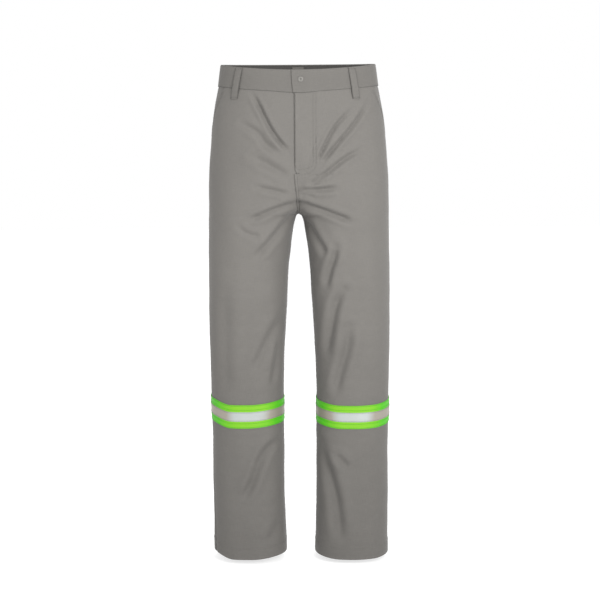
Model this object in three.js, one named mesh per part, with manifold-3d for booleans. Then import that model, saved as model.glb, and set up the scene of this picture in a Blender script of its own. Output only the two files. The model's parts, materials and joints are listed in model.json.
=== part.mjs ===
// Work trousers with hi-vis leg bands: cloth panels, waistband, fly with zip, snap, pockets.
// Millimetres, +Z up, front towards -Y, wearer's left towards +X.
// Origin: centre of the waist opening, level with the waistband's top edge at the sides.
import * as THREE from 'three';
import { mergeVertices } from 'three/addons/utils/BufferGeometryUtils.js';
import Module from 'manifold-3d';

const wasm = await Module();
wasm.setup();

// ---------- lengths down the garment ----------
const RISE = 312; // waistband top to crotch
const INSEAM = 733; // crotch to hem
const HEM_Z = -RISE - INSEAM;
const FRONT_DROP = 12; // the waistband's top edge is this much lower at the centre front
const WAISTBAND_HEIGHT = 45;
const FORK_START = 0.55; // share of the rise above which the two sides are one oval
const FORK_POWER = 1.5; // how gently they part at first
const ARCH_DEPTH = 0.12; // share of the inseam over which the legs part in a rounded arch
const ARCH_GAP = 19; // centre plane to the leg at the arch's foot

// ---------- half widths and depths ----------
const WAIST_HALF_WIDTH = 162.5;
const SEAT_HALF_WIDTH = 190;
const KNEE_HALF_WIDTH = 79;
const HEM_HALF_WIDTH = 78.5;
const HEM_GAP = 30;
const KNEE_GAP = 33; // centre plane to the inner side of the knee
const OVAL_POWER = 2.4; // 2 is an ellipse, more is squarer

// ---------- cloth and clearances ----------
const CLOTH = 1.2;
const LAYER_GAP = 0.3;
const LABEL_TURN = 0.11; // half the size label's width, as a turn about the waist
const CURVED_GAP = 0.8; // between layers whose facets differ
const SEAM_GAP = 0.2; // half the gap between two panels that meet at a seam
const HINGE_GAP = 0.45; // each side of the cylinder that parts two bodies

// ---------- facets ----------
// Their number follows the size, so that nested layers stay clear of each other.
const HIP_COLUMNS = Math.ceil(SEAT_HALF_WIDTH / 14); // across each front or back panel
const LEG_COLUMNS = Math.ceil(SEAT_HALF_WIDTH / 16);
const POCKET_FACET = 1400 / SEAT_HALF_WIDTH; // degrees
const POCKET_ROW = 20;
const SHIN_ROWS = Math.ceil(INSEAM / 82);

// ---------- hips and knees ----------
const HIP_RADIUS = 116;
const HIP_Z = -RISE - 6 - HIP_RADIUS;
const KNEE_RADIUS = 104;
const KNEE_ABOVE_HEM = 455;
const KNEE_Z = HEM_Z + KNEE_ABOVE_HEM;

// ---------- bands and hems ----------
const BAND_TOP_ABOVE_HEM = 335;
const BAND_HEIGHT = 50;
const BAND_THICKNESS = 0.6;
const STRIP_HEIGHT = 20;
const STRIP_THICKNESS = 0.4;
const HEM_FACING_HEIGHT = 25;

// ---------- belt loops ----------
const LOOP_WIDTH = 14;
const LOOP_LENGTH = 63;
const LOOP_THICKNESS = 1.3;
const LOOP_BOW = 2.2; // how far the loop stands off between its ends
const LOOP_TOP = 3; // below the waistband's top edge
const FRONT_LOOP_X = { right: -113.5, left: 103 };
const SIDE_LOOP_X = 122;
const LOOP_SKEW = 9; // how far outwards a front loop's lower end stands

// ---------- fly, zip and snap ----------
const FLY_BOTTOM_Z = -213;
const FLY_OVERLAP = 14; // past the centre front, over the right side
const FLY_LIFT = 2.2; // the flap's inner face stands this far off the front
const FLY_FOLD_TOP_X = 64; // the fold line, at the waistband's top
const FLY_FOLD_BOTTOM_X = 8;
const TAB_OVERLAP = 20;
const WAISTBAND_PROUD = 0.8; // the waistband's outer face stands off the panels
const TAB_LIFT = WAISTBAND_PROUD + LAYER_GAP;
const TAB_THICKNESS = 2;
const UNDERLAP = 20; // past the centre front, under the tab
const ZIP_TOP_Z = -FRONT_DROP - WAISTBAND_HEIGHT - 3;
const ZIP_BOTTOM_Z = FLY_BOTTOM_Z + 5;
const TOOTH_WIDTH = 3;
const TOOTH_INNER = 1.1;
const TOOTH_DEPTH = 1.8;
const TAPE_WIDTH = 11.5;
const TAPE_THICKNESS = 0.5;
const SLIDER_WIDTH = 9.2;
const SLIDER_LENGTH = 9;
const SLIDER_PLATE = 0.9;
const PULL_LENGTH = 24;
const PULL_WIDTH = 4.4;
const PULL_THICKNESS = 0.8;
const SNAP_X = 3;
const SNAP_Z = -FRONT_DROP - WAISTBAND_HEIGHT / 2 + 0.5;
const SNAP_CAP_RADIUS = 6;
const SNAP_HOLE_RADIUS = 4.6;

// ---------- pockets ----------
const MOUTH_TOP_ANGLE = 28; // degrees forward of the side, where the mouth meets the waistband
const MOUTH_DEPTH = 105; // from the waistband seam down the side
const FACING_ANGLES = [-45, -1]; // degrees from the side, negative towards the front
const BAG_ANGLES = [-63, -7];
const REAR_POCKET_ANGLES = [37, 70];
const BAG_DEPTH = 205;
const BAG_ABOVE_CROTCH = 38; // the least that a bag's foot stays above the crotch
const REAR_POCKET_TOP = 52; // below the waistband seam
const REAR_POCKET_HEIGHT = 140;

const CLOTH_GREY = { color: 0x8a8680, roughness: 0.9 };
const LINING_GREY = { color: 0x55534f, roughness: 0.9 };
const POCKETING = { color: 0x9a968e, roughness: 0.95 };
const LIME = { color: 0x91e641, roughness: 0.7 };
const SILVER = { color: 0xcdd2d4, roughness: 0.45 };
const TAPE_GREY = { color: 0x6b6863, roughness: 0.9 };
const METAL = { color: 0x8d8d8b, roughness: 0.35, metalness: 1 };
const PAINTED = { color: 0x7f7c77, roughness: 0.5 };
const LABEL = { color: 0xd9d6cf, roughness: 0.85 };

// Levels from waist to hem. half: outer half width of the garment, gap: centre plane to the
// leg's inner side, front and back: depth from the middle plane.
const kneeHalf = KNEE_GAP + 2 * KNEE_HALF_WIDTH;
const hemHalf = HEM_GAP + 2 * HEM_HALF_WIDTH;
const LEVELS = [
  { z: 0, half: WAIST_HALF_WIDTH, gap: 0, front: 104, back: 104 },
  { z: -WAISTBAND_HEIGHT, half: WAIST_HALF_WIDTH + 5.5, gap: 0, front: 106, back: 110 },
  { z: -0.375 * RISE, half: SEAT_HALF_WIDTH - 7, gap: 0, front: 109.3, back: 124 },
  { z: -0.7 * RISE, half: SEAT_HALF_WIDTH, gap: 0, front: 113, back: 129 },
  { z: -RISE, half: SEAT_HALF_WIDTH + 1.5, gap: 0, front: 110, back: 121 },
  { z: -RISE - ARCH_DEPTH * INSEAM, half: SEAT_HALF_WIDTH + 2.5, gap: ARCH_GAP, front: 104, back: 106 },
  { z: -RISE - 0.26 * INSEAM, half: SEAT_HALF_WIDTH + 2, gap: 27, front: 95, back: 93 },
  { z: -RISE - 0.4 * INSEAM, half: kneeHalf, gap: KNEE_GAP, front: 85, back: 84 },
  { z: -RISE - 0.545 * INSEAM, half: kneeHalf - 2, gap: KNEE_GAP + 3.5, front: 79, back: 84 },
  { z: -RISE - 0.685 * INSEAM, half: kneeHalf - 5, gap: KNEE_GAP + 2.5, front: 75, back: 84 },
  { z: -RISE - 0.82 * INSEAM, half: hemHalf + 1, gap: HEM_GAP + 4, front: 76, back: 82 },
  { z: HEM_Z, half: hemHalf, gap: HEM_GAP, front: 80, back: 80 },
];

// The value at height z, on a smooth curve through the levels (a Hermite curve, slopes between
// neighbours).
function level(name, z) {
  let i = 0;
  while (i < LEVELS.length - 2 && z < LEVELS[i + 1].z) i += 1;
  const slope = (j) => {
    const a = LEVELS[Math.max(j - 1, 0)];
    const b = LEVELS[Math.min(j + 1, LEVELS.length - 1)];
    return (b[name] - a[name]) / (b.z - a.z);
  };
  const [p, q] = [LEVELS[i], LEVELS[i + 1]];
  const h = q.z - p.z;
  const t = Math.min(Math.max((z - p.z) / h, 0), 1);
  const [t2, t3] = [t * t, t * t * t];
  return (2 * t3 - 3 * t2 + 1) * p[name] + (t3 - 2 * t2 + t) * h * slope(i)
    + (3 * t2 - 2 * t3) * q[name] + (t3 - t2) * h * slope(i + 1);
}

// One side's oval at height z: centre and half width. Above the crotch the oval is cut by the
// centre plane, and its centre moves out from it as the two sides part.
function oval(z) {
  const half = level('half', z);
  if (z < -RISE) {
    const arch = ARCH_GAP * Math.sqrt(Math.min((-RISE - z) / (ARCH_DEPTH * INSEAM), 1));
    const gap = Math.max(level('gap', z), arch, SEAM_GAP);
    return { centre: (half + gap) / 2, width: (half - gap) / 2 };
  }
  const fork = Math.max((-z / RISE - FORK_START) / (1 - FORK_START), 0) ** FORK_POWER;
  return { centre: half * fork / (1 + fork), width: half / (1 + fork) };
}

const radians = THREE.MathUtils.degToRad;
const lerp = THREE.MathUtils.lerp;

// A unit oval's point at an angle from its first axis, and its height above x.
function unitOval(angle) {
  const [c, s] = [Math.cos(angle), Math.sin(angle)];
  const reach = (Math.abs(c) ** OVAL_POWER + Math.abs(s) ** OVAL_POWER) ** (-1 / OVAL_POWER);
  return [c * reach, s * reach];
}
const unitHeight = (x) => (1 - Math.abs(x) ** OVAL_POWER) ** (1 / OVAL_POWER);

// A point on one side (+1 left, -1 right) of the garment. angle runs from 0 at the outer side to
// the inner edge, negative over the front and positive over the back; offset is outwards.
function onSide(side, angle, z, offset) {
  const { centre, width } = oval(z);
  const depth = (angle < 0 ? level('front', z) : level('back', z)) + offset;
  const [across, along] = unitOval(angle);
  return [side * (centre + (width + offset) * across), depth * along, z];
}

// The angle of the oval where it is x from the centre plane.
function angleAt(x, z, offset = 0) {
  const { centre, width } = oval(z);
  const share = Math.max((x - centre) / (width + offset), -1);
  return Math.atan2(unitHeight(share), share);
}

// The least angle of a panel, at the side seam, and the most, at its centre seam or inseam.
const outerAngle = (z) => SEAM_GAP / level('back', z);
const innerAngle = (z, offset) => Math.min(angleAt(SEAM_GAP, z, offset), Math.PI - outerAngle(z));

// The front of the garment at x, for pieces that cross the centre.
function onFront(x, z, offset) {
  const { centre, width } = oval(z);
  return [x, -(level('front', z) + offset) * unitHeight((Math.abs(x) - centre) / (width + offset)), z];
}

// The waist oval: turn 0 at the centre front, growing to the wearer's left, pi at the centre back.
function onWaist(turn, z, offset) {
  const [out, across] = unitOval(turn);
  const depth = (out > 0 ? level('front', z) : level('back', z)) + offset;
  return [(level('half', z) + offset) * across, -depth * out, z];
}

function turnAt(x, z) {
  const share = x / level('half', z);
  return Math.atan2(share, unitHeight(share));
}

// The waistband's top edge: level at the sides and back, lower at the centre front.
const waistTop = (turn) => -FRONT_DROP * Math.max(Math.cos(turn), 0) ** 2;
const waistTopAt = (x) => waistTop(turnAt(x, -WAISTBAND_HEIGHT));

// The fly flap's fold line.
const foldX = (z) => lerp(FLY_FOLD_TOP_X, FLY_FOLD_BOTTOM_X, z / FLY_BOTTOM_Z);

// A closed cloth piece: place(u, v, offset) gives its outer and inner faces, u and v from 0 to 1.
function slab(place, columns, rows, outer, inner) {
  const points = [];
  for (const offset of [outer, inner]) {
    for (let j = 0; j <= rows; j += 1) {
      for (let i = 0; i <= columns; i += 1) points.push(...place(i / columns, j / rows, offset));
    }
  }
  const face = (columns + 1) * (rows + 1);
  const at = (layer, i, j) => layer * face + j * (columns + 1) + i;
  const index = [];
  const quad = (a, b, c, d) => index.push(a, b, c, a, c, d);
  for (let j = 0; j < rows; j += 1) {
    for (let i = 0; i < columns; i += 1) {
      quad(at(0, i, j), at(0, i, j + 1), at(0, i + 1, j + 1), at(0, i + 1, j));
      quad(at(1, i, j), at(1, i + 1, j), at(1, i + 1, j + 1), at(1, i, j + 1));
    }
  }
  for (let i = 0; i < columns; i += 1) {
    quad(at(0, i, 0), at(0, i + 1, 0), at(1, i + 1, 0), at(1, i, 0));
    quad(at(0, i + 1, rows), at(0, i, rows), at(1, i, rows), at(1, i + 1, rows));
  }
  for (let j = 0; j < rows; j += 1) {
    quad(at(0, 0, j + 1), at(0, 0, j), at(1, 0, j), at(1, 0, j + 1));
    quad(at(0, columns, j), at(0, columns, j + 1), at(1, columns, j + 1), at(1, columns, j));
  }
  const geometry = new THREE.BufferGeometry();
  geometry.setAttribute('position', new THREE.Float32BufferAttribute(points, 3));
  geometry.setIndex(index);
  if (volume(geometry) < 0) geometry.setIndex(index.map((_, k) => index[k - (k % 3) + 2 - (k % 3)]));
  return geometry;
}

function volume(geometry) {
  const p = geometry.getAttribute('position');
  const corner = [new THREE.Vector3(), new THREE.Vector3(), new THREE.Vector3()];
  let sum = 0;
  for (let k = 0; k < geometry.index.count; k += 3) {
    corner.forEach((c, n) => c.fromBufferAttribute(p, geometry.index.getX(k + n)));
    sum += corner[0].dot(corner[1].clone().cross(corner[2])) / 6;
  }
  return sum;
}

// A geometry as a solid that can be cut and joined, and back again.
function solid(geometry) {
  const bare = geometry.clone();
  bare.deleteAttribute('normal');
  bare.deleteAttribute('uv');
  const merged = mergeVertices(bare, 1e-4);
  return new wasm.Manifold(new wasm.Mesh({
    numProp: 3,
    vertProperties: new Float32Array(merged.getAttribute('position').array),
    triVerts: new Uint32Array(merged.index.array),
  }));
}

function fromSolid(body) {
  const mesh = body.getMesh();
  const geometry = new THREE.BufferGeometry();
  geometry.setAttribute('position', new THREE.Float32BufferAttribute(mesh.vertProperties, 3));
  geometry.setIndex(new THREE.Uint32BufferAttribute(mesh.triVerts, 1));
  return geometry;
}

const group = new THREE.Group();

function add(name, geometry, look, parent = group) {
  const mesh = new THREE.Mesh(geometry, new THREE.MeshStandardMaterial(look));
  mesh.name = name;
  parent.add(mesh);
  return mesh;
}

// Where a panel ends on the cylinder about a hip or knee, found by a few steps down the cloth.
function hingeEdge(side, angleOf, hingeZ, radius, offset) {
  let z = hingeZ + radius;
  for (let step = 0; step < 6; step += 1) {
    const y = onSide(side, angleOf(z, offset), z, offset)[1] - hingeY(hingeZ);
    z = hingeZ + Math.sqrt(Math.max(radius * radius - y * y, 0));
  }
  return z;
}

// A hinge lies midway between the cloth's front and back, where the cylinder crosses them.
const hingeY = (z) => (level('back', z + 45) - level('front', z + 45)) / 2;

// ---------- panels ----------
// A panel of one side. face is -1 for the front and 1 for the back; topOf and bottomOf give its
// edges' heights, inner and outer its side edges' angles.
function panel(side, face, columns, rows, { topOf, bottomOf, inner = innerAngle, outer = outerAngle }) {
  return slab((u, v, offset) => {
    const angleOf = (z, off) => face * lerp(outer(z, off), inner(z, off), u);
    const z = lerp(topOf(angleOf, offset), bottomOf(angleOf, offset), v);
    return onSide(side, angleOf(z, offset), z, offset);
  }, columns, rows, 0, -CLOTH);
}

for (const [name, side] of [['right', -1], ['left', 1]]) {
  const seam = (angleOf) => {
    const turn = Math.PI / 2 + angleOf(-WAISTBAND_HEIGHT, 0);
    return -WAISTBAND_HEIGHT + waistTop(turn) - LAYER_GAP;
  };
  const hip = (gap) => (angleOf, off) => hingeEdge(side, angleOf, HIP_Z, HIP_RADIUS + gap, off);
  const knee = (gap) => (angleOf, off) => hingeEdge(side, angleOf, KNEE_Z, KNEE_RADIUS + gap, off);

  // The front panel stops at the pocket mouth, and at the fly: at the fold line on the left, and
  // beside the zip on the right.
  const flyEdge = (z) => (side > 0 ? foldX(z) + 2 * SEAM_GAP : SLIDER_WIDTH / 2 + 2 * LAYER_GAP);
  const frontInner = (z, off) => (z > FLY_BOTTOM_Z ? angleAt(flyEdge(z), z, off) : innerAngle(z, off));
  const frontOuter = (z) => {
    const down = Math.min(Math.max((-WAISTBAND_HEIGHT - z) / MOUTH_DEPTH, 0), 1);
    return Math.max(radians(MOUTH_TOP_ANGLE) * (1 - down ** 1.5), outerAngle(z));
  };
  const hipEdges = { topOf: seam, bottomOf: hip(HINGE_GAP) };
  add(`front_hip_${name}`,
    panel(side, -1, HIP_COLUMNS, 14, { ...hipEdges, inner: frontInner, outer: frontOuter }), CLOTH_GREY);
  add(`back_hip_${name}`, panel(side, 1, HIP_COLUMNS, 12, hipEdges), CLOTH_GREY);
  for (const [part, face] of [['front', -1], ['back', 1]]) {
    add(`thigh_${part}_${name}`, panel(side, face, LEG_COLUMNS, 6, {
      topOf: hip(-HINGE_GAP), bottomOf: knee(HINGE_GAP),
    }), CLOTH_GREY);
    add(`shin_${part}_${name}`, panel(side, face, LEG_COLUMNS, SHIN_ROWS, {
      topOf: knee(-HINGE_GAP), bottomOf: () => HEM_Z,
    }), CLOTH_GREY);
  }

  // ---------- bands and hem facing, each a sleeve round the leg with its join at the inseam ----------
  const sleeve = (top, height, outer, inner) => slab((u, v, offset) => {
    const z = top - height * v;
    const most = Math.PI - outerAngle(z);
    return onSide(side, lerp(-most, most, u), z, offset);
  }, 2 * LEG_COLUMNS, 1, outer, inner);
  const bandTop = HEM_Z + BAND_TOP_ABOVE_HEM;
  const bandFace = LAYER_GAP + BAND_THICKNESS;
  const stripTop = bandTop - (BAND_HEIGHT - STRIP_HEIGHT) / 2;
  const stripFace = bandFace + LAYER_GAP;
  add(`band_tape_${name}`, sleeve(bandTop, BAND_HEIGHT, bandFace, LAYER_GAP), LIME);
  add(`reflective_strip_${name}`,
    sleeve(stripTop, STRIP_HEIGHT, stripFace + STRIP_THICKNESS, stripFace), SILVER);
  const hemInner = -CLOTH - LAYER_GAP;
  add(`hem_facing_${name}`,
    sleeve(HEM_Z + HEM_FACING_HEIGHT, HEM_FACING_HEIGHT, hemInner, hemInner - 0.8), CLOTH_GREY);

  // ---------- pockets ----------
  // A layer from one angle to another, hung from a line below the waistband seam.
  const layer = ([first, last], down, height, outer, thickness) => slab((u, v, offset) => {
    const angle = radians(lerp(first, last, u));
    const z = waistTop(Math.PI / 2 + angle) - WAISTBAND_HEIGHT - down - height * v;
    return onSide(side, angle, z, offset);
  }, Math.ceil((last - first) / POCKET_FACET), Math.ceil(height / POCKET_ROW), outer, outer - thickness);
  const faceTop = -CLOTH - CURVED_GAP;
  add(`pocket_facing_${name}`, layer(FACING_ANGLES, 1, MOUTH_DEPTH + 15, faceTop, 0.6), CLOTH_GREY);
  const bag = faceTop - 0.6 - CURVED_GAP;
  const bagRoom = RISE - FRONT_DROP - WAISTBAND_HEIGHT - BAG_ABOVE_CROTCH;
  const bagDepth = Math.min(BAG_DEPTH, bagRoom);
  add(`pocket_bag_front_${name}`, layer(BAG_ANGLES, 1, bagDepth, bag, 0.5), POCKETING);
  add(`pocket_bag_back_${name}`, layer(BAG_ANGLES, 1, bagDepth, bag - 0.5 - LAYER_GAP, 0.5), POCKETING);
  add(`rear_pocket_${name}`,
    layer(REAR_POCKET_ANGLES, REAR_POCKET_TOP, REAR_POCKET_HEIGHT, CURVED_GAP + 0.9, 0.9), CLOTH_GREY);
}

// ---------- snap ----------
// Everything on the snap's axis shares one frame, square to the front. Distances outwards from the
// front are along its -Y.
const frontSlope = (top, bottom) => Math.atan2(
  onFront(0, bottom, 0)[1] - onFront(0, top, 0)[1], top - bottom,
);
const snapFrame = new THREE.Group();
snapFrame.position.set(...onFront(SNAP_X, SNAP_Z, 0));
snapFrame.rotation.x = frontSlope(SNAP_Z + 10, SNAP_Z - 10);
group.add(snapFrame);
snapFrame.updateMatrixWorld(true);

// A turned piece about the snap's axis, from [radius, distance outwards] pairs.
function turned(profile) {
  const points = profile.map(([radius, out]) => new THREE.Vector2(radius, out));
  const geometry = mergeVertices(new THREE.LatheGeometry(points, 16));
  return geometry.rotateX(Math.PI); // outwards is now -Y
}

const hole = solid(turned([
  [0, -6], [SNAP_HOLE_RADIUS, -6], [SNAP_HOLE_RADIUS, 8], [0, 8],
]).applyMatrix4(snapFrame.matrixWorld));

const tabFace = TAB_LIFT + TAB_THICKNESS;
const capFace = tabFace + LAYER_GAP;
add('snap_cap', turned([
  [0, TAB_LIFT + 1.2], [1.7, TAB_LIFT + 1.2], [1.7, capFace], [SNAP_CAP_RADIUS, capFace],
  [SNAP_CAP_RADIUS, capFace + 0.6], [4.6, capFace + 1.3], [1.5, capFace + 1.5],
  [0.9, capFace + 1.1], [0, capFace + 1.1],
]), PAINTED, snapFrame);
add('snap_socket', turned([
  [2.2, TAB_LIFT - LAYER_GAP], [SNAP_HOLE_RADIUS - 0.4, TAB_LIFT - LAYER_GAP],
  [SNAP_HOLE_RADIUS - 0.4, tabFace - 0.2], [2.2, tabFace - 0.2], [2.2, TAB_LIFT - LAYER_GAP],
]), METAL, snapFrame);
add('snap_stud', turned([
  [0, -0.9], [SNAP_HOLE_RADIUS - 0.4, -0.9], [SNAP_HOLE_RADIUS - 0.4, TAB_LIFT - 0.7],
  [1.6, TAB_LIFT - 0.7], [1.6, TAB_LIFT + 0.8], [0, TAB_LIFT + 0.8],
]), METAL, snapFrame);
add('snap_washer', turned([
  [0, -CLOTH - LAYER_GAP - 0.8], [5.5, -CLOTH - LAYER_GAP - 0.8],
  [5.5, -CLOTH - LAYER_GAP], [0, -CLOTH - LAYER_GAP],
]), METAL, snapFrame);

// ---------- waistband ----------
// A run of the waistband from one turn to another; each may depend on the height.
function waistRun(from, to, columns, { outer, inner, top = 0, height = WAISTBAND_HEIGHT }) {
  return slab((u, v, offset) => {
    const middle = lerp(from(-WAISTBAND_HEIGHT / 2), to(-WAISTBAND_HEIGHT / 2), u);
    const z = waistTop(middle) - top - height * v;
    return onWaist(lerp(from(z), to(z), u), z, offset);
  }, columns, 2, outer, inner);
}

const backEnd = (side) => (z) => side * (Math.PI - turnAt(SEAM_GAP, z));
const foldTurn = (gap) => (z) => turnAt(foldX(z) + gap, z);
const band = { outer: WAISTBAND_PROUD, inner: -CLOTH };
const facing = { outer: -CLOTH - CURVED_GAP, inner: -CLOTH - CURVED_GAP - 0.8, top: 2, height: 40 };

const right = solid(waistRun(backEnd(-1), (z) => turnAt(UNDERLAP, z), 28, band));
add('waistband_right', fromSolid(right.subtract(hole)), CLOTH_GREY);
add('waistband_left', waistRun(foldTurn(2 * SEAM_GAP), backEnd(1), 22, band), CLOTH_GREY);
const tab = solid(waistRun((z) => turnAt(-TAB_OVERLAP, z), foldTurn(0), 8,
  { outer: tabFace, inner: TAB_LIFT }));
add('waistband_tab', fromSolid(tab.subtract(hole)), CLOTH_GREY);
add('waistband_facing_right', waistRun(backEnd(-1), (z) => turnAt(-FLY_OVERLAP, z), 22, facing),
  LINING_GREY);
add('waistband_facing_left', waistRun(foldTurn(1), backEnd(1), 22, facing), LINING_GREY);
const labelFace = facing.inner - LAYER_GAP;
add('size_label', waistRun(() => Math.PI - LABEL_TURN, () => Math.PI + LABEL_TURN, 4,
  { outer: labelFace, inner: labelFace - 0.3, top: 4, height: 26 }), LABEL);

// ---------- belt loops ----------
// A strip that lies on the waistband at its top, on the panel at its lower end, and bows between.
function beltLoop(turn, lowerTurn) {
  const speed = new THREE.Vector3(...onWaist(turn + 0.01, 0, 0))
    .distanceTo(new THREE.Vector3(...onWaist(turn, 0, 0))) / 0.01;
  return slab((u, v, offset) => {
    const z = waistTop(turn) - LOOP_TOP - LOOP_LENGTH * v;
    const onBand = LOOP_TOP + LOOP_LENGTH * v < WAISTBAND_HEIGHT + 2;
    const rest = onBand ? WAISTBAND_PROUD + LAYER_GAP : CURVED_GAP;
    const base = rest + LOOP_BOW * Math.sin(Math.PI * v) ** 0.7;
    const across = (u - 0.5) * LOOP_WIDTH / speed;
    return onWaist(lerp(turn, lowerTurn, v) + across, z, base + offset);
  }, 2, 12, LOOP_THICKNESS, 0);
}

for (const name of ['right', 'left']) {
  const x = FRONT_LOOP_X[name];
  const foot = x + Math.sign(x) * LOOP_SKEW;
  add(`belt_loop_front_${name}`, beltLoop(turnAt(x, 0), turnAt(foot, 0)), CLOTH_GREY);
  const back = Math.sign(x) * (Math.PI - turnAt(SIDE_LOOP_X, 0));
  add(`belt_loop_side_${name}`, beltLoop(back, back), CLOTH_GREY);
}
add('belt_loop_back', beltLoop(Math.PI, Math.PI), CLOTH_GREY);

// ---------- fly ----------
add('fly_flap', slab((u, v, offset) => {
  const top = -WAISTBAND_HEIGHT + waistTopAt(foldX(-WAISTBAND_HEIGHT) / 2) - LAYER_GAP;
  const z = lerp(top, FLY_BOTTOM_Z, v);
  return onFront(lerp(-FLY_OVERLAP, foldX(z), u), z, offset);
}, 8, 12, FLY_LIFT + CLOTH, FLY_LIFT), CLOTH_GREY);
const facingEnd = (z) => foldX(z) - 3;
add('fly_facing', slab((u, v, offset) => {
  const z = lerp(ZIP_TOP_Z, -0.47 * RISE, v);
  return onFront(lerp(SLIDER_WIDTH / 2 + 2, facingEnd(z), u), z, offset);
}, 4, 6, FLY_LIFT - LAYER_GAP, FLY_LIFT - LAYER_GAP - 0.7), LINING_GREY);

// The zip and the shield behind it are straight, in one frame whose -Z runs down the zip.
const zip = new THREE.Group();
zip.position.set(...onFront(0, ZIP_TOP_Z, 0));
zip.rotation.x = frontSlope(ZIP_TOP_Z, ZIP_BOTTOM_Z);
group.add(zip);
const ZIP_LENGTH = (ZIP_TOP_Z - ZIP_BOTTOM_Z) / Math.cos(zip.rotation.x);

// A box from its two sides in x, two distances outwards, and two distances down the zip.
function zipBox(x0, x1, out0, out1, down0, down1) {
  return new THREE.BoxGeometry(x1 - x0, out1 - out0, down1 - down0)
    .translate((x0 + x1) / 2, -(out0 + out1) / 2, -(down0 + down1) / 2);
}

const toothFace = -0.8;
const toothBack = toothFace - TOOTH_DEPTH;
const toothOuter = TOOTH_INNER + TOOTH_WIDTH;
const tapeFace = -CLOTH - LAYER_GAP;
const STOP_LENGTH = 1.8;
const SLIDER_TOP = STOP_LENGTH + LAYER_GAP;
for (const [name, side] of [['right', -1], ['left', 1]]) {
  const span = (near, far) => [Math.min(side * near, side * far), Math.max(side * near, side * far)];
  const teeth = span(TOOTH_INNER, toothOuter);
  const tape = span(toothOuter + LAYER_GAP, toothOuter + LAYER_GAP + TAPE_WIDTH);
  add(`zip_top_stop_${name}`, zipBox(...teeth, toothBack, toothFace, 0, STOP_LENGTH), METAL, zip);
  add(`zip_teeth_${name}`,
    zipBox(...teeth, toothBack, toothFace, SLIDER_TOP, ZIP_LENGTH - STOP_LENGTH), METAL, zip);
  add(`zip_tape_${name}`,
    zipBox(...tape, tapeFace - TAPE_THICKNESS, tapeFace, 0, ZIP_LENGTH), TAPE_GREY, zip);
}
add('zip_bottom_stop', zipBox(-toothOuter, toothOuter, toothBack, toothFace,
  ZIP_LENGTH - STOP_LENGTH + LAYER_GAP, ZIP_LENGTH), METAL, zip);

const plateFace = toothFace + LAYER_GAP;
const plateBack = toothBack - LAYER_GAP;
const pullOut = plateFace + SLIDER_PLATE + 0.4 + PULL_THICKNESS / 2;
const pullDown = SLIDER_TOP + 3;
const half = SLIDER_WIDTH / 2;
const sliderEnd = SLIDER_TOP + SLIDER_LENGTH;
const postHalf = TOOTH_INNER - 2 * LAYER_GAP;
const lugInner = PULL_WIDTH / 2 + LAYER_GAP;
const frontPlate = [plateFace, plateFace + SLIDER_PLATE];
const slider = [
  [-half, half, plateBack - SLIDER_PLATE, plateBack, SLIDER_TOP, sliderEnd],
  [-postHalf, postHalf, plateBack - 0.1, plateFace + 0.1, SLIDER_TOP, SLIDER_TOP + 4],
  [-lugInner - 0.8, -lugInner, plateFace, pullOut + 0.6, pullDown - 1.4, pullDown + 1.4],
  [lugInner, lugInner + 0.8, plateFace, pullOut + 0.6, pullDown - 1.4, pullDown + 1.4],
].reduce((sum, sides) => sum.add(solid(zipBox(...sides))),
  solid(zipBox(-half, half, ...frontPlate, SLIDER_TOP, sliderEnd)));
add('zip_slider', fromSolid(slider), METAL, zip);

// The pull is a round-ended bar seen from the side, carried between the slider's lugs.
const pullSide = new THREE.Shape();
pullSide.absarc(0, 0, PULL_THICKNESS / 2, 0, Math.PI, false);
pullSide.lineTo(-PULL_THICKNESS / 2, -PULL_LENGTH);
pullSide.lineTo(PULL_THICKNESS / 2, -PULL_LENGTH);
pullSide.closePath();
const pull = new THREE.ExtrudeGeometry(pullSide,
  { depth: PULL_WIDTH, bevelEnabled: false, curveSegments: 8 });
pull.translate(0, 0, -PULL_WIDTH / 2).rotateX(Math.PI / 2).rotateZ(Math.PI / 2);
add('zip_pull', pull.translate(0, -pullOut, -pullDown), METAL, zip);

const shieldFace = plateBack - SLIDER_PLATE - 0.4;
add('fly_shield', zipBox(-24, UNDERLAP, shieldFace - 0.8, shieldFace, -2, ZIP_LENGTH), CLOTH_GREY, zip);

export default group;
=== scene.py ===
import json
import math

import bpy
import numpy as np
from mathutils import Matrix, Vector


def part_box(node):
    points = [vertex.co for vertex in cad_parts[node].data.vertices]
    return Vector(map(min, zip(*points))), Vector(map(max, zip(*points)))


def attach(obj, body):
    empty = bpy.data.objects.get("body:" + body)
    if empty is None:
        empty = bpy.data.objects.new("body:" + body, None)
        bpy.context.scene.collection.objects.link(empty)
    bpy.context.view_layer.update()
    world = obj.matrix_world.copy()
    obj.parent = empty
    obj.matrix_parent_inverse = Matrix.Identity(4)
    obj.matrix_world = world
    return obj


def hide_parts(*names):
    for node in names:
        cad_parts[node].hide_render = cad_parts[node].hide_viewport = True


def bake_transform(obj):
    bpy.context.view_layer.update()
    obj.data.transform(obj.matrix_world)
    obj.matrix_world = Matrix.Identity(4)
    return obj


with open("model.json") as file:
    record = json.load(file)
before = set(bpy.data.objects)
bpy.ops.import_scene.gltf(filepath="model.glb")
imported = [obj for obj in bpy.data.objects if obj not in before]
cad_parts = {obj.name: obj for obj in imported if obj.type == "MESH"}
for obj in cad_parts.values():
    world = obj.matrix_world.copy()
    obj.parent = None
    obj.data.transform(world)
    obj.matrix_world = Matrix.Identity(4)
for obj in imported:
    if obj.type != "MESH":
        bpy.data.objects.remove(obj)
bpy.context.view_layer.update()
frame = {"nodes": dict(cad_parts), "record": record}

JOINTS = {joint["name"]: joint for joint in frame["record"]["behaviour"]["joints"]}
SIDES = {"right": -1, "left": 1}

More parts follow.
